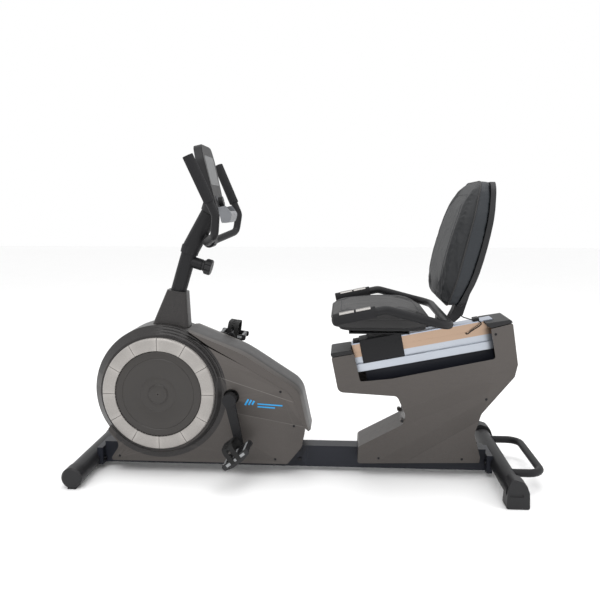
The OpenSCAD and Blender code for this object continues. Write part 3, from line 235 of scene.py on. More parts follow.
# %% Moulded plastic
def moulded(name, colour, rough=0.5, grain=0.00005, metal=0.0, coat=0.0, relief=None, areas=(), rise=0.0):
    """areas are (mask of the finish, colour) pairs: own colours, and crease lines of painted highlight and
    painted shade; rise paints the colour lighter upwards, a painted highlight for sky light.
    """
    f = Finish(name)
    base = f.mix(f.noise(5, 3), tint(colour, 0.88), tint(colour, 1.12))
    # Painted highlight: the colour is made lighter with height, standing in for light from the sky.
    if rise:
        base = f.mix(f.axis("Z").step(0.02, 0.56) * rise, base, tint(colour, 2.0))
    for mask, paint in areas:
        base = f.mix(mask(f), base, paint)
    if metal:
        base = f.mix(f.cells(900, out="Color") * 0.3, base, tint(colour, 2.2))
    dust = f.noise(60, 4)
    worn = f.mix(f.edges() * 0.3, base, tint(colour, 2.0))
    f.set(Base_Color=worn, Metallic=metal, Roughness=rough - 0.06 + dust * 0.12 + f.edges() * 0.08)
    f.set(Coat_Weight=coat, Coat_Roughness=0.25, Specular_IOR_Level=0.3)
    height = f.noise(700, 2) * grain
    return f.relief(height if relief is None else height + relief(f)).material


# %% [markdown]
# ### Powder coat
# The beam, the cranks and the handlebar are steel under baked powder. The powder flows before it sets, so
# its skin has a soft orange peel a few millimetres across. Long scuffs change only the roughness.

# %% Powder-coated steel
def powder_coat(name, colour, rough=0.42):
    f = Finish(name)
    broad = f.noise(7, 3)
    scuffs = f.noise(45, 5, (1, 6, 1)).step(0.62, 0.72)
    base = f.mix(broad, tint(colour, 0.85), tint(colour, 1.2))
    base = f.mix(f.edges() * 0.3, base, tint(colour, 3))
    f.set(Base_Color=base, Specular_IOR_Level=0.25, Roughness=rough + scuffs * 0.12 + broad * 0.08)
    return f.relief(f.noise(260, 2) * 0.00016 + f.noise(900, 1) * 0.00003).material


# %% [markdown]
# ### Rubber and foam
# Rubber is matt and blooms grey in patches. Grip foam adds open pits, which are cells cut down into the
# height. The pedal straps have real slots, so the same finish can also make part of a surface transparent.

# %% Rubber and foam
def rubber(name, colour, rough=0.75, pits=0.0, holes=None):
    """pits is the depth of a foam's open cells; holes is a mask of what is cut away."""
    f = Finish(name)
    bloom = f.noise(22, 4)
    base = f.mix(bloom, tint(colour, 0.8), tint(colour, 1.5))
    f.set(Base_Color=f.mix(f.edges() * 0.3, base, tint(colour, 2)), Roughness=rough + bloom * 0.15)
    f.set(Specular_IOR_Level=0.25)
    if holes:
        f.set(Alpha=1 - holes(f))
    height = f.noise(500, 3) * 0.00008
    if pits:
        height = height + f.cells(420).step(0.1, 0.5) * pits
    return f.relief(height).material


# %% [markdown]
# ### Bare metal
# A drawn or turned metal keeps fine lines along the way it was worked. The lines come from a noise
# stretched along that way. The rail is polished, and the warm and cool halves of a room that its two side
# bands mirror are painted on as areas with their own colours: a painted reflection.

# %% Bare metals
def metal(name, colour, rough, streak=(1, 1, 1), depth=0.00001, areas=()):
    f = Finish(name)
    lines = f.noise(900, 2, streak)
    base = f.mix(lines, tint(colour, 0.9), tint(colour, 1.08))
    for mask, paint in areas:
        base = f.mix(mask(f), base, paint)
    smear = f.noise(14, 4)
    f.set(Base_Color=base, Metallic=1.0, Roughness=rough + smear * 0.12 + lines * 0.05)
    return f.relief(lines * depth).material


# %% [markdown]
# ### Vinyl
# Cushion covers are vinyl with a pressed leather grain: small closed cells with narrow valleys. Broad
# shallow folds lie over the grain where the foam pulls it. The backrest's side band is cut from a lighter
# sheet.

# %% Stitched vinyl
def vinyl(name, colour, band=None):
    """Vinyl has closed cells like leather. band is a mask of the part that is cut from lighter vinyl."""
    f = Finish(name)
    grain = f.cells(330).step(0.05, 0.55)
    soft = f.noise(9, 3)
    base = f.mix(soft, tint(colour, 0.8), tint(colour, 1.25))
    if band:
        base = f.mix(band(f), base, (0.017, 0.020, 0.024))
    folds = f.noise(16, 2, (1, 1, 2)).step(0.45, 0.75)
    f.set(Base_Color=base, Roughness=0.52 + grain * 0.1 - soft * 0.08, Specular_IOR_Level=0.35)
    return f.relief(grain * 0.00022 + folds * 0.0012 + f.noise(900, 2) * 0.00004).material


# %% [markdown]
# ## Creases pressed into the housings
# The front housing has two straight creases that sweep down and back, and the rear one has two that rise.
# A crease is a line where the panel changes its slope. Cutting it into the mesh would need many small
# faces, so it is written as a height instead: distance past the line, times a slope, up to the width of
# the lower facet.

# %% Crease heights
def crease(f, first, last, slope, width):
    """Height of a facet that begins at the line from first to last, given as (x, z) in metres."""
    along = Vector(last) - Vector(first)
    side = Vector((-along.y, along.x)).normalized()
    past = f.axis("X") * side.x + f.axis("Z") * side.y - side.dot(Vector(first))
    return past.at_least(0).at_most(width) * slope


def front_creases(f):
    upper = crease(f, (-0.284, 0.349), (-0.029, 0.266), -0.16, 0.05)
    lower = crease(f, (-0.230, 0.225), (0.006, 0.181), 0.15, 0.045)
    return upper + lower


def rear_creases(f):
    upper = crease(f, (0.343, 0.191), (0.485, 0.253), -0.14, 0.05)
    lower = crease(f, (0.361, 0.069), (0.583, 0.208), 0.14, 0.05)
    horn = crease(f, (0.130, 0.323), (0.414, 0.335), 0.12, 0.03)
    return upper + lower + horn


def back_band(f):
    """Mask of the backrest's side band, which lies behind a line that leans with the backrest."""
    lean = (0.590 - 0.494) / (1.008 - 0.610)
    behind = f.axis("X") - (f.axis("Z") - 0.610) * lean
    return behind.step(0.464, 0.468)


def crease_light_line(f, first, last):
    """Mask of a thin line along a crease, where a painted highlight, and on the rear housing a painted shade,
    is laid.
    """
    along = Vector(last) - Vector(first)
    side = Vector((-along.y, along.x)).normalized()
    past = f.axis("X") * side.x + f.axis("Z") * side.y - side.dot(Vector(first))
    return f.band(past, -0.0009, 0.0009) * f.band(f.axis("X"), first[0], last[0], 0.02) * 0.6


# Painted highlights along the front housing's two creases.
def upper_crease_highlight(f):
    return crease_light_line(f, (-0.284, 0.349), (-0.029, 0.266))


def lower_crease_highlight(f):
    return crease_light_line(f, (-0.230, 0.225), (0.006, 0.181)) * 0.5


# Painted shade: a dark line along the rear housing's lower crease.
def rear_crease_shade(f):
    return crease_light_line(f, (0.361, 0.069), (0.583, 0.208)) * 0.5


def drum_rim(f):
    """Mask of the drum round the trim ring, which is darker than the panels."""
    return 1 - f.radius().step(0.2318, 0.2332)


def rim_ridges(f):
    """Concentric ridges on the drum's upper rear quarter."""
    place = f.axis("X").step(-0.52, -0.47) * f.axis("Z").step(0.33, 0.37)
    wave = (f.radius() * 785).maths("SINE", f.radius() * 785)
    return wave * place * f.band(f.radius(), 0.201, 0.231) * 0.0011


def front_relief(f):
    return front_creases(f) + rim_ridges(f)


def band_middle(f):
    """Mask of the shroud band's middle, between its two cheeks."""
    return f.band(f.axis("Y"), -0.062, 0.062)


rail_start = (0.160, 0.4615)
rail_tilt = math.radians(11.2)


def rail_height(f):
    """Height over the rail's sloping top face."""
    up = (f.axis("Z") - rail_start[1]) * math.cos(rail_tilt)
    return up - (f.axis("X") - rail_start[0]) * math.sin(rail_tilt)


# Painted reflection: the upper band of the rail's side face, warm as the half of the room it mirrors.
def rail_warm_reflection(f):
    return f.band(rail_height(f), -0.052, -0.004)


# Painted reflection: the lower band of the side face, cool as the half of the room it mirrors.
def rail_cool_reflection(f):
    return 1 - rail_height(f).step(-0.053, -0.051)


# %% [markdown]
# ### Every finish, once
# Each slot of the model has one finish, and a few pieces have their own. Keeping them in one table makes
# it easy to see that neighbouring blacks differ: paint is bluish, plastic neutral and foam the dullest.

# %% Mix every finish once
bronze = (0.050, 0.045, 0.042)
# pale: the colour of the painted highlight on the front housing's crease lines
pale = (0.22, 0.21, 0.20)
charcoal = (0.017, 0.017, 0.018)
front_areas = [(drum_rim, charcoal), (upper_crease_highlight, pale), (lower_crease_highlight, pale)]
finishes = {
    "frame_paint": powder_coat("frame_paint", (0.008, 0.009, 0.013), 0.36),
    "black_metal": powder_coat("black_metal", (0.007, 0.007, 0.008), 0.46),
    "charcoal_metal": powder_coat("charcoal_metal", (0.014, 0.014, 0.015), 0.4),
    "screw_steel": metal("screw_steel", (0.03, 0.03, 0.032), 0.4),
    "dark_plastic": moulded("dark_plastic", (0.012, 0.012, 0.013), 0.48),
    "bronze_plastic": moulded("bronze_plastic", bronze, 0.4, metal=0.3),
    # front, rear and band bronze: rise is a painted highlight, lighter upwards for light from the sky
    "front_bronze": moulded("front_bronze", bronze, 0.38, metal=0.3, relief=front_relief,
                            areas=front_areas, rise=0.8),
    # the rear housing's dark crease line is painted shade
    "rear_bronze": moulded("rear_bronze", bronze, 0.42, metal=0.3, relief=rear_creases,
                           areas=[(rear_crease_shade, (0.01, 0.01, 0.01))], rise=0.6),
    "band_bronze": moulded("band_bronze", bronze, 0.42, metal=0.3, areas=[(band_middle, charcoal)], rise=0.4),
    "disc_plastic": moulded("disc_plastic", (0.030, 0.027, 0.025), 0.38, coat=0.15),
    "trim_silver": moulded("trim_silver", (0.25, 0.237, 0.225), 0.36, grain=0.00002, metal=0.3, coat=0.2),
    # rail: the bluish base tint and the warm and cool side bands are painted reflections
    "rail_aluminium": metal("rail_aluminium", (0.40, 0.44, 0.52), 0.22, (0.02, 1, 1),
                            areas=[(rail_warm_reflection, (0.42, 0.30, 0.22)), (rail_cool_reflection, (0.44, 0.47, 0.52))]),
    "bearing_steel": metal("bearing_steel", (0.5, 0.5, 0.51), 0.25),
    "wheel_rubber": rubber("wheel_rubber", (0.010, 0.010, 0.010)),
    "belt_rubber": rubber("belt_rubber", (0.010, 0.010, 0.010)),
    "flywheel_iron": metal("flywheel_iron", (0.34, 0.34, 0.35), 0.32, depth=0.00002),
    "pulley_plastic": moulded("pulley_plastic", (0.03, 0.03, 0.03), 0.55),
    "grip_foam": rubber("grip_foam", (0.012, 0.012, 0.013), 0.8, pits=0.0003),
    "console_grey": moulded("console_grey", (0.15, 0.155, 0.165), 0.42, coat=0.1),
    "console_glass": moulded("console_glass", (0.03, 0.033, 0.036), 0.3, grain=0.0, coat=0.15),
    "button_rubber": rubber("button_rubber", (0.06, 0.06, 0.065), 0.55),
    "seat_vinyl": vinyl("seat_vinyl", (0.019, 0.0185, 0.019)),
    "back_vinyl": vinyl("back_vinyl", (0.010, 0.011, 0.0125), back_band),
    "pulse_chrome": metal("pulse_chrome", (0.26, 0.25, 0.24), 0.25),
    "cable_sheath": rubber("cable_sheath", (0.008, 0.008, 0.008), 0.5),
}
insert_grey = moulded("insert_grey", (0.20, 0.205, 0.21), 0.55)
accent_blue = moulded("accent_blue", (0.01, 0.22, 0.48), 0.35, grain=0.0, coat=0.3)
thread = rubber("thread", (0.03, 0.03, 0.033), 0.7)

# %% [markdown]
# ## Pedals lie in their own directions
# Each pedal stands at its own angle about its spindle. Its finish and its fittings are easier to place
# along the pedal's own length and thickness, so both directions are worked out once for each side.

# %% Directions of each pedal, and the perforated straps
pedals = {}
for word, tilt, spindle in (("left", -38, (-0.2138, 0.1179)), ("right", 8, (-0.2862, 0.4501))):
    turn = math.radians(tilt)
    pedals[word] = {
        "at": Vector((spindle[0], 0, spindle[1])),
        "long": Vector((math.cos(turn), 0, -math.sin(turn))),
        "thick": Vector((math.sin(turn), 0, math.cos(turn))),
    }


def strap_holes(word):
    """Mask of a row of round-ended slots along the strap."""
    pedal = pedals[word]

    def mask(f):
        along = pedal["long"]
        x = f.axis("X") * along.x + f.axis("Z") * along.z - along.dot(pedal["at"])
        wave = (f.axis("Y") * 628).maths("SINE", f.axis("Y") * 628)
        return f.band(x, -0.0045, 0.0045) * wave.step(0.1, 0.3)

    return mask


for word in pedals:
    finishes["strap_" + word] = rubber("strap_" + word, (0.008, 0.008, 0.008), 0.6, holes=strap_holes(word))
finishes["strap_rubber"] = finishes["strap_left"]
print("finishes", len(finishes) + 3)

# %% [markdown]
# ## From CAD solids to finished pieces
# CAD edges are perfectly sharp, and nothing real is: a moulded or painted edge has a small radius that
# catches the light. A carried-over solid is copied, its triangles are merged back into flat faces, and a
# Bevel modifier rounds every edge. The copy then stands for the solid, which itself stays untouched for
# the motion model.

# %% Helpers that place a finished mesh
def add(name, mesh, body, material):
    piece = bpy.data.objects.new(name, mesh)
    bpy.context.scene.collection.objects.link(piece)
    mesh.materials.clear()
    mesh.materials.append(material)
    if body:
        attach(piece, body)
    return piece


def settle(piece):
    """Keeps the result of a piece's modifiers as its mesh."""
    bpy.context.view_layer.update()
    ready = piece.evaluated_get(bpy.context.evaluated_depsgraph_get())
    mesh = bpy.data.meshes.new_from_object(ready)
    piece.modifiers.clear()
    piece.data = mesh


def welded(node):
    """A copy of a CAD node's mesh, joined up, with flat areas made into single faces."""
    mesh = nodes[node].data.copy()
    bm = bmesh.new()
    bm.from_mesh(mesh)
    bmesh.ops.remove_doubles(bm, verts=bm.verts, dist=2e-6)
    bmesh.ops.dissolve_limit(bm, angle_limit=0.004, verts=bm.verts, edges=bm.edges)
    bm.to_mesh(mesh)
    bm.free()
    for layer in list(mesh.attributes):
        if layer.name == "custom_normal":
            mesh.attributes.remove(layer)
    return mesh


def rounded_copy(node, radius, material=None, steps=2):
    slot = slot_of[node]
    mesh = welded(node)
    piece = add(node + "_finished", mesh, body_of[node], material or finishes[slot])
    mesh.polygons.foreach_set("use_smooth", [True] * len(mesh.polygons))
    bevel = piece.modifiers.new("edge", "BEVEL")
    bevel.width = radius
    bevel.segments = steps
    bevel.limit_method = "ANGLE"
    bevel.angle_limit = math.radians(30)
    bevel.use_clamp_overlap = True
    piece.modifiers.new("shading", "WEIGHTED_NORMAL").keep_sharp = True
    settle(piece)
    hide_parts(node)
    return piece


# %% [markdown]
# The radius of an edge depends on how the piece is made: about 1.5 mm on mouldings and forged cranks, and
# under 1 mm on cut tube and sheet. The table gives each solid its own.

# %% Carry over the visible solids with rounded edges
edge_radius = {
    "front_frame": 0.0015, "rear_frame": 0.0015, "frame_bolts": 0.0006, "front_stabilizer": 0.0008,
    "front_caps": 0.0015, "rear_stabilizer": 0.0008, "rear_feet": 0.003, "lift_handle": 0.0005,
    "seat_rail": 0.0008, "rail_stops": 0.001, "rear_shroud_caps": 0.0013, "shroud_screws": 0.0006,
    "mast_post": 0.001, "mast_column": 0.001,
    "handlebar": 0.0004, "handlebar_clamp": 0.001, "handlebar_grips": 0.0015, "console_housing": 0.0012,
    "console_face": 0.001, "console_screen": 0.0004, "console_dial": 0.0012, "console_button_left": 0.001,
    "console_button_right": 0.001, "console_tray": 0.0012, "mast_knob": 0.0015, "carriage": 0.0015,
    "carriage_glides": 0.0005, "seat_lever": 0.0015, "seat_frame": 0.0005, "seat_pan": 0.002,
    "back_shell": 0.0015, "seat_grips": 0.0015, "pulse_plates": 0.0006, "crank_left": 0.0015,
    "crank_right": 0.0015, "pedal_left": 0.0015, "pedal_right": 0.0015, "crank_axle": 0.0006,
    "transport_wheel_left": 0.0015, "transport_wheel_right": 0.0015,
}
for node, radius in edge_radius.items():
    rounded_copy(node, radius)
for side in ("left", "right"):
    rounded_copy("front_shroud_" + side, 0.0014, finishes["front_bronze"], 3)
    rounded_copy("rear_shroud_" + side, 0.0014, finishes["rear_bronze"], 3)
    rounded_copy("pedal_strap_" + side, 0.0008, finishes["strap_" + side])
rounded_copy("mast_boot", 0.0015, finishes["band_bronze"])
print("rounded", len(edge_radius) + 7)

# %% Hidden solids keep their shape and get their finish
inner = ("shaft_bearings", "tension_motor", "drive_belt", "magnet_arm", "flywheel", "flywheel_axle",
         "drive_pulley")
for node in inner:
    mesh = nodes[node].data
    for index in range(len(mesh.materials)):
        mesh.materials[index] = finishes[slot_of[node]]
print("inner solids", inner)

# %% [markdown]
# ## The band over the drive housing
# A domed cover runs from the drum, over the crank and down to the beam. Its two guiding lines, the foot of
# its sides and its crest, are bent at the same corners, so a cross-section can be drawn at each step
# between them and the sections joined into one shell.

# %% Bend a line round its corners
def bent(points, steps=6, fill=8):
    """Points (x, z, bend radius) in millimetres to a line in metres with round corners."""
    line = [Vector(points[0][:2])]
    for i in range(1, len(points) - 1):
        here = Vector(points[i][:2])
        back = (Vector(points[i - 1][:2]) - here).normalized()
        on = (Vector(points[i + 1][:2]) - here).normalized()
        half = back.angle(on) / 2
        middle = here + (back + on).normalized() * points[i][2] / math.sin(half)
        first = here + back * points[i][2] / math.tan(half) - middle
        turn = first.angle_signed(here + on * points[i][2] / math.tan(half) - middle)
        for k in range(steps + 1):
            spin = -turn * k / steps
            line.append(middle + Vector((first.x * math.cos(spin) - first.y * math.sin(spin),
                                         first.x * math.sin(spin) + first.y * math.cos(spin))))
    line.append(Vector(points[-1][:2]))
    full = []
    for a, b in zip(line, line[1:]):
        full += [a.lerp(b, k / fill) for k in range(fill)]
    return [p / 1000 for p in full + [line[-1]]]


print("bent() rounds the corners of a line")


# %% The two guiding lines
def on_drum(degrees):
    angle = math.radians(degrees)
    return (-498 + 237.5 * math.cos(angle), 296 + 237.5 * math.sin(angle), 0)


foot = bent([on_drum(44), (-206, 392, 300), (-50, 300, 60), (2, 178, 0)])
crest = bent([on_drum(66), (-200, 437, 300), (-10, 312, 80), (21, 161, 0)])
print("foot and crest have", len(foot), "points")

# %% Loft the band between them
half = 0.090
profile = [(-half, 0.0, 1), (-half, 0.009, 0), (-half + 0.004, 0.0076, 0), (-half + 0.016, 0.0050, 0),
           (-half + 0.030, 0.0016, 0), (-half + 0.042, 0.0, 0), (-0.025, 0.0, 0)]
profile += [(-y, drop, low) for y, drop, low in reversed(profile)]
bm = bmesh.new()
sections = []
for p, c in zip(foot, crest):
    if sections and ((c - sections[-1][1]).length < 0.0008 or (p - sections[-1][0]).length < 0.0008):
        continue
    sections.append((p, c))
loops = []
for p, c in sections:
    up = (c - p).normalized()
    outer = [(y, p + up * 0.0004 if low else c - up * drop) for y, drop, low in profile]
    inner = [(y * (1 - 0.003 / half), q - (up * 0.003 if not low else up * 0.0)) for (y, q), (_, _, low) in
             zip(outer, profile)]
    loops.append([bm.verts.new((q.x, y, q.y)) for y, q in outer + inner[::-1]])
for a, b in zip(loops, loops[1:]):
    for j in range(len(a)):
        k = (j + 1) % len(a)
        bm.faces.new((a[j], a[k], b[k], b[j]))
for end in (loops[0], loops[-1]):
    n = len(end) // 2
    for j in range(n - 1):
        bm.faces.new((end[j], end[j + 1], end[-2 - j], end[-1 - j]))
bmesh.ops.recalc_face_normals(bm, faces=bm.faces)
band_mesh = bpy.data.meshes.new("shroud_band")
bm.to_mesh(band_mesh)
bm.free()
band_mesh.polygons.foreach_set("use_smooth", [True] * len(band_mesh.polygons))
band_mesh.set_sharp_from_angle(angle=math.radians(40))
shroud_band = add("shroud_band", band_mesh, "frame", finishes["band_bronze"])
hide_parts("front_shroud_band")
print("band sections", len(loops))

# %% [markdown]
# ## Turned pieces: the disc and its segmented trim ring
# The drive housing carries a dark disc with a hub cap, and a silver ring round it that is divided into
# twelve plates. All of these are round, so each is made by turning a short profile about the axis. The
# ring is turned in twelve arcs with a narrow gap between them, which gives true joint lines that catch the
# light.

# %% Turn a profile about the disc axis
axis = Vector((-0.498, 0.0, 0.296))


def turned(name, profile, side, arcs, material, node, body="frame", steps=8):
    """profile is a closed list of (radius, distance from the middle plane); arcs are (from, to) in degrees."""
    bm = bmesh.new()
    for first, last in arcs:
        whole = last - first >= 360
        count = steps + (0 if whole else 1)
        rings = []
        for i in range(count):
            angle = math.radians(first + (last - first) * i / steps)
            rings.append([bm.verts.new((axis.x + r * math.cos(angle), side * y, axis.z + r * math.sin(angle)))
                          for r, y in profile])
        pairs = list(zip(rings, rings[1:] + rings[:1])) if whole else list(zip(rings, rings[1:]))
        for a, b in pairs:
            for j in range(len(profile)):
                k = (j + 1) % len(profile)
                bm.faces.new((a[j], a[k], b[k], b[j]))
        if not whole:
            bm.faces.new(rings[0])
            bm.faces.new(rings[-1][::-1])
    bmesh.ops.remove_doubles(bm, verts=bm.verts, dist=1e-6)
    bmesh.ops.recalc_face_normals(bm, faces=bm.faces)
    mesh = bpy.data.meshes.new(name)
    bm.to_mesh(mesh)
    bm.free()
    mesh.polygons.foreach_set("use_smooth", [True] * len(mesh.polygons))
    mesh.set_sharp_from_angle(angle=math.radians(28))
    piece = add(name, mesh, body, material)
    if node:
        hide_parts(node)
    return piece


# %% The trim ring in twelve plates, and the disc inside it
ring_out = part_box("trim_rings")[1].y
disc_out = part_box("disc_covers")[1].y - 0.002
drum_out = 0.104
plate = [(0.1495, drum_out), (0.1495, ring_out - 0.003), (0.1508, ring_out - 0.0008), (0.153, ring_out),
         (0.186, ring_out), (0.191, ring_out - 0.002), (0.1936, ring_out - 0.006), (0.194, drum_out)]
floor_ring = [(0.1495, drum_out), (0.1495, ring_out - 0.004), (0.190, ring_out - 0.004), (0.1925, drum_out)]
dish = [(0.002, disc_out - 0.006), (0.002, disc_out + 0.0012), (0.012, disc_out + 0.0018),
        (0.029, disc_out + 0.002), (0.0315, disc_out + 0.001), (0.032, disc_out - 0.0006),
        (0.034, disc_out - 0.0016), (0.037, disc_out - 0.0004), (0.060, disc_out), (0.0612, disc_out - 0.0006),
        (0.0624, disc_out), (0.122, disc_out), (0.1235, disc_out - 0.001), (0.125, disc_out),
        (0.143, disc_out - 0.0004), (0.1475, disc_out - 0.002), (0.149, disc_out - 0.006), (0.149, drum_out),
        (0.140, disc_out - 0.008)]
twelve = [(a + 0.28, a + 29.72) for a in range(0, 360, 30)]
for side, word in ((-1, "left"), (1, "right")):
    turned("trim_plates_" + word, plate, side, twelve, finishes["trim_silver"], "trim_rings")
    turned("trim_floor_" + word, floor_ring, side, [(0, 360)], finishes["dark_plastic"], None,
           steps=96)
    turned("disc_" + word, dish, side, [(0, 360)], finishes["disc_plastic"], "disc_covers",
           steps=96)
print("ring face at", round(ring_out, 4), "disc face at", round(disc_out, 4))

# %% [markdown]
# ## Cushions
# A cushion is foam in a stitched cover: it bulges between its seams and is drawn in along them. The CAD
# pad is remeshed into even cells, the cells along the seams and against the shell are held, and a short
# cloth simulation with air pressure inside swells the rest. The movement is capped, so the pad keeps its
# size. Piping and seam threads are laid on afterwards, where the cover's panels meet.

# %% Swell a pad between its seams
def stuffed(node, name, cell, held, cap):
    slot = slot_of[node]
    mesh = welded(node)
    pad = add(name, mesh, body_of[node], finishes[slot])
    cells = pad.modifiers.new("cells", "REMESH")
    cells.mode = "VOXEL"
    cells.voxel_size = cell
    settle(pad)
    smooth = pad.modifiers.new("soften", "SMOOTH")
    smooth.factor = 0.5
    smooth.iterations = 5
    settle(pad)
    before = np.array([v.co for v in pad.data.vertices])
    seams = pad.vertex_groups.new(name="seams")
    still = [i for i, p in enumerate(before) if held(p)]
    seams.add(still, 1.0, "REPLACE")
    cloth = pad.modifiers.new("stuffing", "CLOTH")
    cloth.settings.use_pressure = True
    cloth.settings.uniform_pressure_force = 4
    cloth.settings.effector_weights.gravity = 0
    cloth.settings.tension_stiffness = 12
    cloth.settings.compression_stiffness = 12
    cloth.settings.bending_stiffness = 0.6
    cloth.settings.vertex_group_mass = "seams"
    for step in range(1, 21):
        bpy.context.scene.frame_set(step)
    settle(pad)
    bpy.context.scene.frame_set(1)
    after = np.array([v.co for v in pad.data.vertices])
    move = after - before
    length = np.linalg.norm(move, axis=1)
    move *= (np.minimum(length, cap) / np.maximum(length, 1e-9))[:, None]
    pad.data.vertices.foreach_set("co", (before + move).ravel())
    print(name, "swelled", round(float(length.max()) * 1000, 1), "mm, kept up to", cap * 1000)
    finer = pad.modifiers.new("finer", "SUBSURF")
    finer.levels = 1
    finer.render_levels = 1
    settle(pad)
    pad.data.polygons.foreach_set("use_smooth", [True] * len(pad.data.polygons))
    pad.data.materials.clear()
    pad.data.materials.append(finishes[slot])
    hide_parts(node)
    return pad


# %% [markdown]
# Piping and seams follow the cushion's outline. The outline is drawn flat with round corners, its points
# are spaced evenly, and each is then moved to the nearest place on the swollen pad.

# %% Lines on the cushions, as rounded outlines
def outline(points, steps=8):
    """Points (a, b, corner radius) to a closed outline with round corners."""
    path = []
    count = len(points)
    for i, (a, b, r) in enumerate(points):
        here = Vector((a, b))
        back = (Vector(points[i - 1][:2]) - here).normalized()
        on = (Vector(points[(i + 1) % count][:2]) - here).normalized()
        half = back.angle(on) / 2
        reach = r / math.tan(half)
        middle = here + (back + on).normalized() * r / math.sin(half)
        first = here + back * reach - middle
        last = here + on * reach - middle
        turn = first.angle_signed(last)
        for k in range(steps + 1):
            spin = -turn * k / steps
            path.append(middle + Vector((first.x * math.cos(spin) - first.y * math.sin(spin),
                                         first.x * math.sin(spin) + first.y * math.cos(spin))))
    return path


def even(path, count):
    """The same closed path with evenly spaced points."""
    points = [Vector(p) for p in path] + [Vector(path[0])]
    lengths = [0.0]
    for a, b in zip(points, points[1:]):
        lengths.append(lengths[-1] + (b - a).length)
    result = []
    k = 0
    for i in range(count):
        target = lengths[-1] * i / count
        while lengths[k + 1] < target:
            k += 1
        share = (target - lengths[k]) / max(lengths[k + 1] - lengths[k], 1e-9)
        result.append(points[k].lerp(points[k + 1], share))
    return result


def onto(pad, path, lift):
    """Moves each point of a path to the nearest place on a pad, then out by lift."""
    corners = [v.co.copy() for v in pad.data.vertices]
    tree = BVHTree.FromPolygons(corners, [p.vertices[:] for p in pad.data.polygons])
    moved = []
    for p in path:
        place, normal, _, _ = tree.find_nearest(p)
        moved.append(place + normal * lift)
    return moved


# %% [markdown]
# Piping, thread and cable are all round tubes on a path. Each ring of the tube keeps the direction of the
# ring before it as nearly as it can, so the tube doesn't twist.

# %% A round tube along a path
def tube(name, path, radius, body, material, closed=False, sides=10):
    bm = bmesh.new()
    count = len(path)
    rings = []
    up = Vector((0.13, 0.27, 0.95)).normalized()
    for i, p in enumerate(path):
        ahead_point = path[(i + 1) % count] if closed or i < count - 1 else p
        back_point = path[i - 1] if closed or i > 0 else p
        along = (ahead_point - back_point).normalized()
        up = (up - along * up.dot(along)).normalized()
        across = along.cross(up)
        rings.append([bm.verts.new(p + radius * (up * math.cos(t) + across * math.sin(t)))
                      for t in (2 * math.pi * j / sides for j in range(sides))])
    pairs = list(zip(rings, rings[1:] + rings[:1])) if closed else list(zip(rings, rings[1:]))
    for a, b in pairs:
        shift = 0
        if closed and b is rings[0]:
            shift = min(range(sides), key=lambda s: (a[0].co - b[s].co).length)
        for j in range(sides):
            k = (j + 1) % sides
            bm.faces.new((a[j], a[k], b[(k + shift) % sides], b[(j + shift) % sides]))
    if not closed:
        bm.faces.new(rings[0][::-1])
        bm.faces.new(rings[-1])
    bmesh.ops.recalc_face_normals(bm, faces=bm.faces)
    mesh = bpy.data.meshes.new(name)
    bm.to_mesh(mesh)
    bm.free()
    mesh.polygons.foreach_set("use_smooth", [True] * len(mesh.polygons))
    return add(name, mesh, body, material)


# %% [markdown]
# ### The seat cushion
# The seat is a wide pad with a piped edge a little over half way up and one seam that frames the sitting
# area. Its underside rests on the pan and is held still.

# %% The seat cushion
seat_low, seat_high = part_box("seat_cushion")
seat_half = seat_high.y
piping_z = seat_low.z + 0.55 * (seat_high.z - seat_low.z)
seat_plan = outline([(0.088, -seat_half, 0.062), (0.416, -seat_half, 0.088), (0.416, seat_half, 0.088),
                     (0.088, seat_half, 0.062)])
seat_line = [Vector((p.x, p.y, piping_z)) for p in even(seat_plan, 150)]
centre_x = (seat_low.x + seat_high.x) / 2
seat_pad = stuffed("seat_cushion", "seat_pad", 0.0055,
                   lambda p: p[2] < seat_low.z + 0.008 or abs(p[2] - piping_z) < 0.003, 0.007)
tube("seat_piping", onto(seat_pad, seat_line, 0.0004), 0.0026, "carriage", finishes["seat_vinyl"],
     True)
inset = [Vector((centre_x + (p.x - centre_x) * 0.80, p.y * 0.80, seat_high.z)) for p in seat_line]
tube("seat_seam", onto(seat_pad, inset, 0.0002), 0.0010, "carriage", thread, True, 6)
print("seat pad", len(seat_pad.data.vertices), "vertices")

# %% [markdown]
# ### The back cushion
# The backrest leans back, so its lines are drawn on its front view and moved along the lean. Its side band
# ends in piping, and its back face lies against the shell.

# %% The back cushion
back_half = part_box("back_shell")[1].y
back_face = outline([(-back_half + 0.050, 0.610, 0.040), (-back_half, 0.700, 0.110),
                     (-back_half + 0.006, 0.900, 0.160), (-back_half + 0.052, 1.014, 0.070),
                     (back_half - 0.052, 1.014, 0.070), (back_half - 0.006, 0.900, 0.160),
                     (back_half, 0.700, 0.110), (back_half - 0.050, 0.610, 0.040)])
lean = (0.590 - 0.494) / (1.008 - 0.610)


def on_back(p, forward):
    return Vector((0.494 - forward + (p.y - 0.610) * lean, p.x, p.y))


band_line = [on_back(p, 0.030) for p in even(back_face, 170)]
back_pad = stuffed("back_cushion", "back_pad", 0.0055,
                   lambda p: p[0] > 0.492 + (p[2] - 0.610) * lean - 0.006
                   or abs(p[0] - (0.464 + (p[2] - 0.610) * lean)) < 0.003, 0.008)
tube("back_piping", onto(back_pad, band_line, 0.0004), 0.0028, "carriage", finishes["seat_vinyl"],
     True)
panel = [on_back(Vector((p.x * 0.74, 0.815 + (p.y - 0.815) * 0.80)), 0.060) for p in even(back_face, 150)]
tube("back_seam", onto(back_pad, panel, 0.0002), 0.0010, "carriage", thread, True, 6)
print("back pad", len(back_pad.data.vertices), "vertices")

# %% [markdown]
# ## The sensor cable
# The pulse plates on the seat handles are read by a thin black cable. It leaves the backrest's upright,
# hangs in a small slack loop beside it and goes into a hole in the rail. It is one tube on the same route
# as its CAD solid, about 4 mm thick. As the seat slides, its ends ride on two bodies, so it bends between
# them.

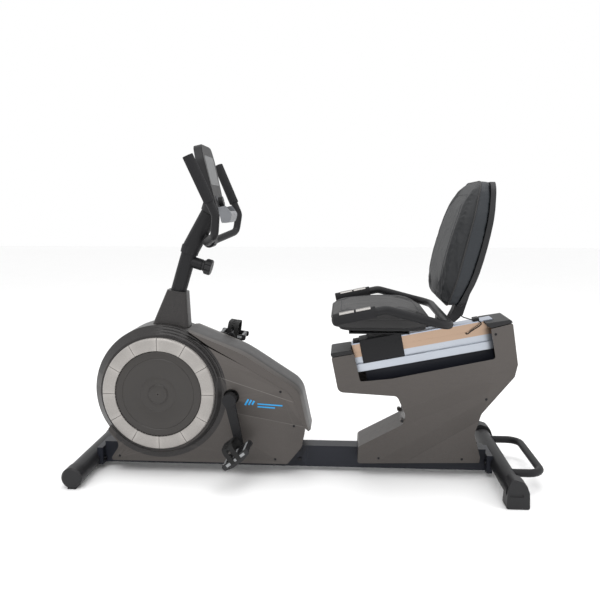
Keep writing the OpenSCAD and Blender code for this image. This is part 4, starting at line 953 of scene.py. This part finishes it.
# %% Lay the cable
cable_route = [(0.530, -0.022, 0.563), (0.532, -0.027, 0.562), (0.538, -0.031, 0.559), (0.548, -0.033, 0.556),
               (0.559, -0.034, 0.553), (0.570, -0.035, 0.551), (0.582, -0.036, 0.549), (0.590, -0.038, 0.547),
               (0.595, -0.040, 0.543), (0.595, -0.041, 0.538), (0.590, -0.041, 0.532), (0.582, -0.040, 0.526),
               (0.573, -0.039, 0.520), (0.565, -0.038, 0.514), (0.558, -0.037, 0.508), (0.553, -0.034, 0.503),
               (0.550, -0.028, 0.501), (0.550, -0.020, 0.501)]
route = [Vector(p) for p in cable_route]
cable = tube("sensor_lead", route, 0.002, None, finishes["cable_sheath"], sides=12)
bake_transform(cable, "carriage", "frame", cable_route[0], cable_route[-1])
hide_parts("sensor_cable")

# %% [markdown]
# ## Small fittings
# Small things say what a machine is made of: ribbed pale inserts in the pedals, cross recesses in the
# housing screws shown as black blocks of painted shade, tick marks round the console's dial and a plain
# accent stripe. Each is a few faces, built with one helper that makes a rounded block along three directions.

# %% A block with rounded edges in any direction
def block(bm, centre, x, y, z, size):
    corners = []
    for i in (-1, 1):
        for j in (-1, 1):
            for k in (-1, 1):
                corners.append(bm.verts.new(centre + x * (i * size[0] / 2) + y * (j * size[1] / 2)
                                            + z * (k * size[2] / 2)))
    for face in ((0, 1, 3, 2), (4, 6, 7, 5), (0, 4, 5, 1), (2, 3, 7, 6), (0, 2, 6, 4), (1, 5, 7, 3)):
        bm.faces.new([corners[n] for n in face])


def blocks(name, items, body, material, edge):
    bm = bmesh.new()
    for item in items:
        block(bm, *item)
    bmesh.ops.recalc_face_normals(bm, faces=bm.faces)
    mesh = bpy.data.meshes.new(name)
    bm.to_mesh(mesh)
    bm.free()
    mesh.polygons.foreach_set("use_smooth", [True] * len(mesh.polygons))
    piece = add(name, mesh, body, material)
    bevel = piece.modifiers.new("edge", "BEVEL")
    bevel.width = edge
    bevel.segments = 2
    settle(piece)
    return piece


X = Vector((1, 0, 0))
Y = Vector((0, 1, 0))
Z = Vector((0, 0, 1))

# %% Cross recesses in the housing screws, as black blocks of painted shade
recesses = []
spots = {}
for v in nodes["shroud_screws"].data.vertices:
    key = (round(v.co.x / 0.03), round(v.co.z / 0.03), v.co.y > 0)
    spots.setdefault(key, []).append(v.co.copy())
heads = []
for group in spots.values():
    middle = sum(group, Vector()) / len(group)
    out = max(group, key=lambda c: abs(c.y)).y
    if all((middle - h).length > 0.02 for h in heads):
        heads.append(Vector((middle.x, out, middle.z)))
for head in heads:
    for turn in (0.4, 0.4 + math.pi / 2):
        arm = X * math.cos(turn) + Z * math.sin(turn)
        recesses.append((head, arm, Y, arm.cross(Y), (0.005, 0.0006, 0.0011)))
# Painted shade: each recess is a black block laid on the screw head, not a cut hollow.
blocks("screw_recess_shades", recesses, "frame", finishes["belt_rubber"], 0.0001)
print("screw heads", len(heads))

# %% The accent stripe on each side of the drive housing
stripes = []
for side in (-1, 1):
    for k in range(3):
        slant = (X * 0.5 + Z * 0.866).normalized()
        centre = Vector((-0.197 + k * 0.011, side * 0.0903, 0.266 - k * 0.001))
        stripes.append((centre, slant, Y, slant.cross(Y), (0.024 - k * 0.004, 0.0008, 0.006)))
    for k, length in enumerate((0.086, 0.060)):
        centre = Vector((-0.160 + length / 2, side * 0.0903, 0.258 - k * 0.009))
        slope = (X - Z * 0.06).normalized()
        stripes.append((centre, slope, Y, slope.cross(Y), (length, 0.0008, 0.0045)))
blocks("accent_stripes", stripes, "frame", accent_blue, 0.0002)

# %% Ticks round the dial
normal = Vector((0.97437, 0, 0.22495))
rise = Vector((-0.22495, 0, 0.97437))
turning = [j for j in frame["record"]["behaviour"]["joints"] if j["name"] == "dial_turn"][0]
dial = Vector(turning["pos_m"]) + normal * 0.0021
ticks = []
for k in range(24):
    angle = math.radians(15 * k)
    out = rise * math.cos(angle) + Y * math.sin(angle)
    length = 0.005 if k % 3 == 0 else 0.003
    ticks.append((dial + out * 0.0225, out, out.cross(normal), normal, (length, 0.0009, 0.0004)))
blocks("dial_ticks", ticks, "mast", insert_grey, 0.0001)

# %% Ribbed inserts in the pedals
for word, side in (("left", -1), ("right", 1)):
    pedal = pedals[word]
    ribs = []
    for x in (-0.040, 0.0, 0.040):
        for k in range(9):
            for face in (-1, 1):
                reach = 0.0165 if x == 0 and face < 0 else 0.0085
                out = side * (0.166 + k * 0.0085)
                centre = pedal["at"] + pedal["long"] * x + pedal["thick"] * (face * reach) + Y * out
                ribs.append((centre, pedal["long"], Y, pedal["thick"], (0.009, 0.0045, 0.0014)))
    for out in (0.1538, 0.2462):
        centre = pedal["at"] + Y * (side * out)
        ribs.append((centre, pedal["long"], Y, pedal["thick"], (0.074, 0.0010, 0.0090)))
    blocks("pedal_inserts_" + word, ribs, f"pedal_{word}_body", insert_grey, 0.0004)
print("fittings done")

# %% [markdown]
# ## Floor and light
# A pale, even floor and a large soft light from above and in front show dark plastics best: their form is
# read from broad reflections. A pale sky fills the shadows, and one tall strip at the side draws the
# edges.

# %% Stage
def lay_floor():
    f = Finish("studio_floor")
    pale_grey = f.mix(f.noise(3, 3), (0.95, 0.95, 0.95), (0.97, 0.97, 0.97))
    f.set(Base_Color=pale_grey, Roughness=0.8 + f.noise(40, 2) * 0.1)
    bm = bmesh.new()
    bmesh.ops.create_grid(bm, x_segments=8, y_segments=8, size=14)
    mesh = bpy.data.meshes.new("floor")
    bm.to_mesh(mesh)
    bm.free()
    mesh.materials.append(f.material)
    floor = bpy.data.objects.new("floor", mesh)
    floor.location.z = -0.0005
    bpy.context.scene.collection.objects.link(floor)


def soft_light(name, place, target, size, power):
    light = bpy.data.lights.new(name, "AREA")
    light.shape = "RECTANGLE"
    light.size, light.size_y = size
    light.energy = power
    lamp = bpy.data.objects.new(name, light)
    lamp.location = place
    lamp.rotation_euler = (Vector(target) - Vector(place)).to_track_quat("-Z", "Y").to_euler()
    bpy.context.scene.collection.objects.link(lamp)


lay_floor()
bpy.context.scene.view_settings.view_transform = "Standard"
sky = bpy.data.worlds.new("studio")
sky.use_nodes = True
sky.node_tree.nodes["Background"].inputs["Color"].default_value = (1, 1, 1, 1)
sky.node_tree.nodes["Background"].inputs["Strength"].default_value = 1.0
bpy.context.scene.world = sky
soft_light("key", (-0.8, -3.0, 3.2), (0, 0, 0.5), (2.6, 2.0), 60)
soft_light("top", (0.3, 0.4, 3.4), (0, 0, 0.4), (3.0, 2.0), 45)
soft_light("side", (2.6, -1.2, 1.4), (0.3, 0, 0.6), (0.8, 2.0), 15)
print("lit")
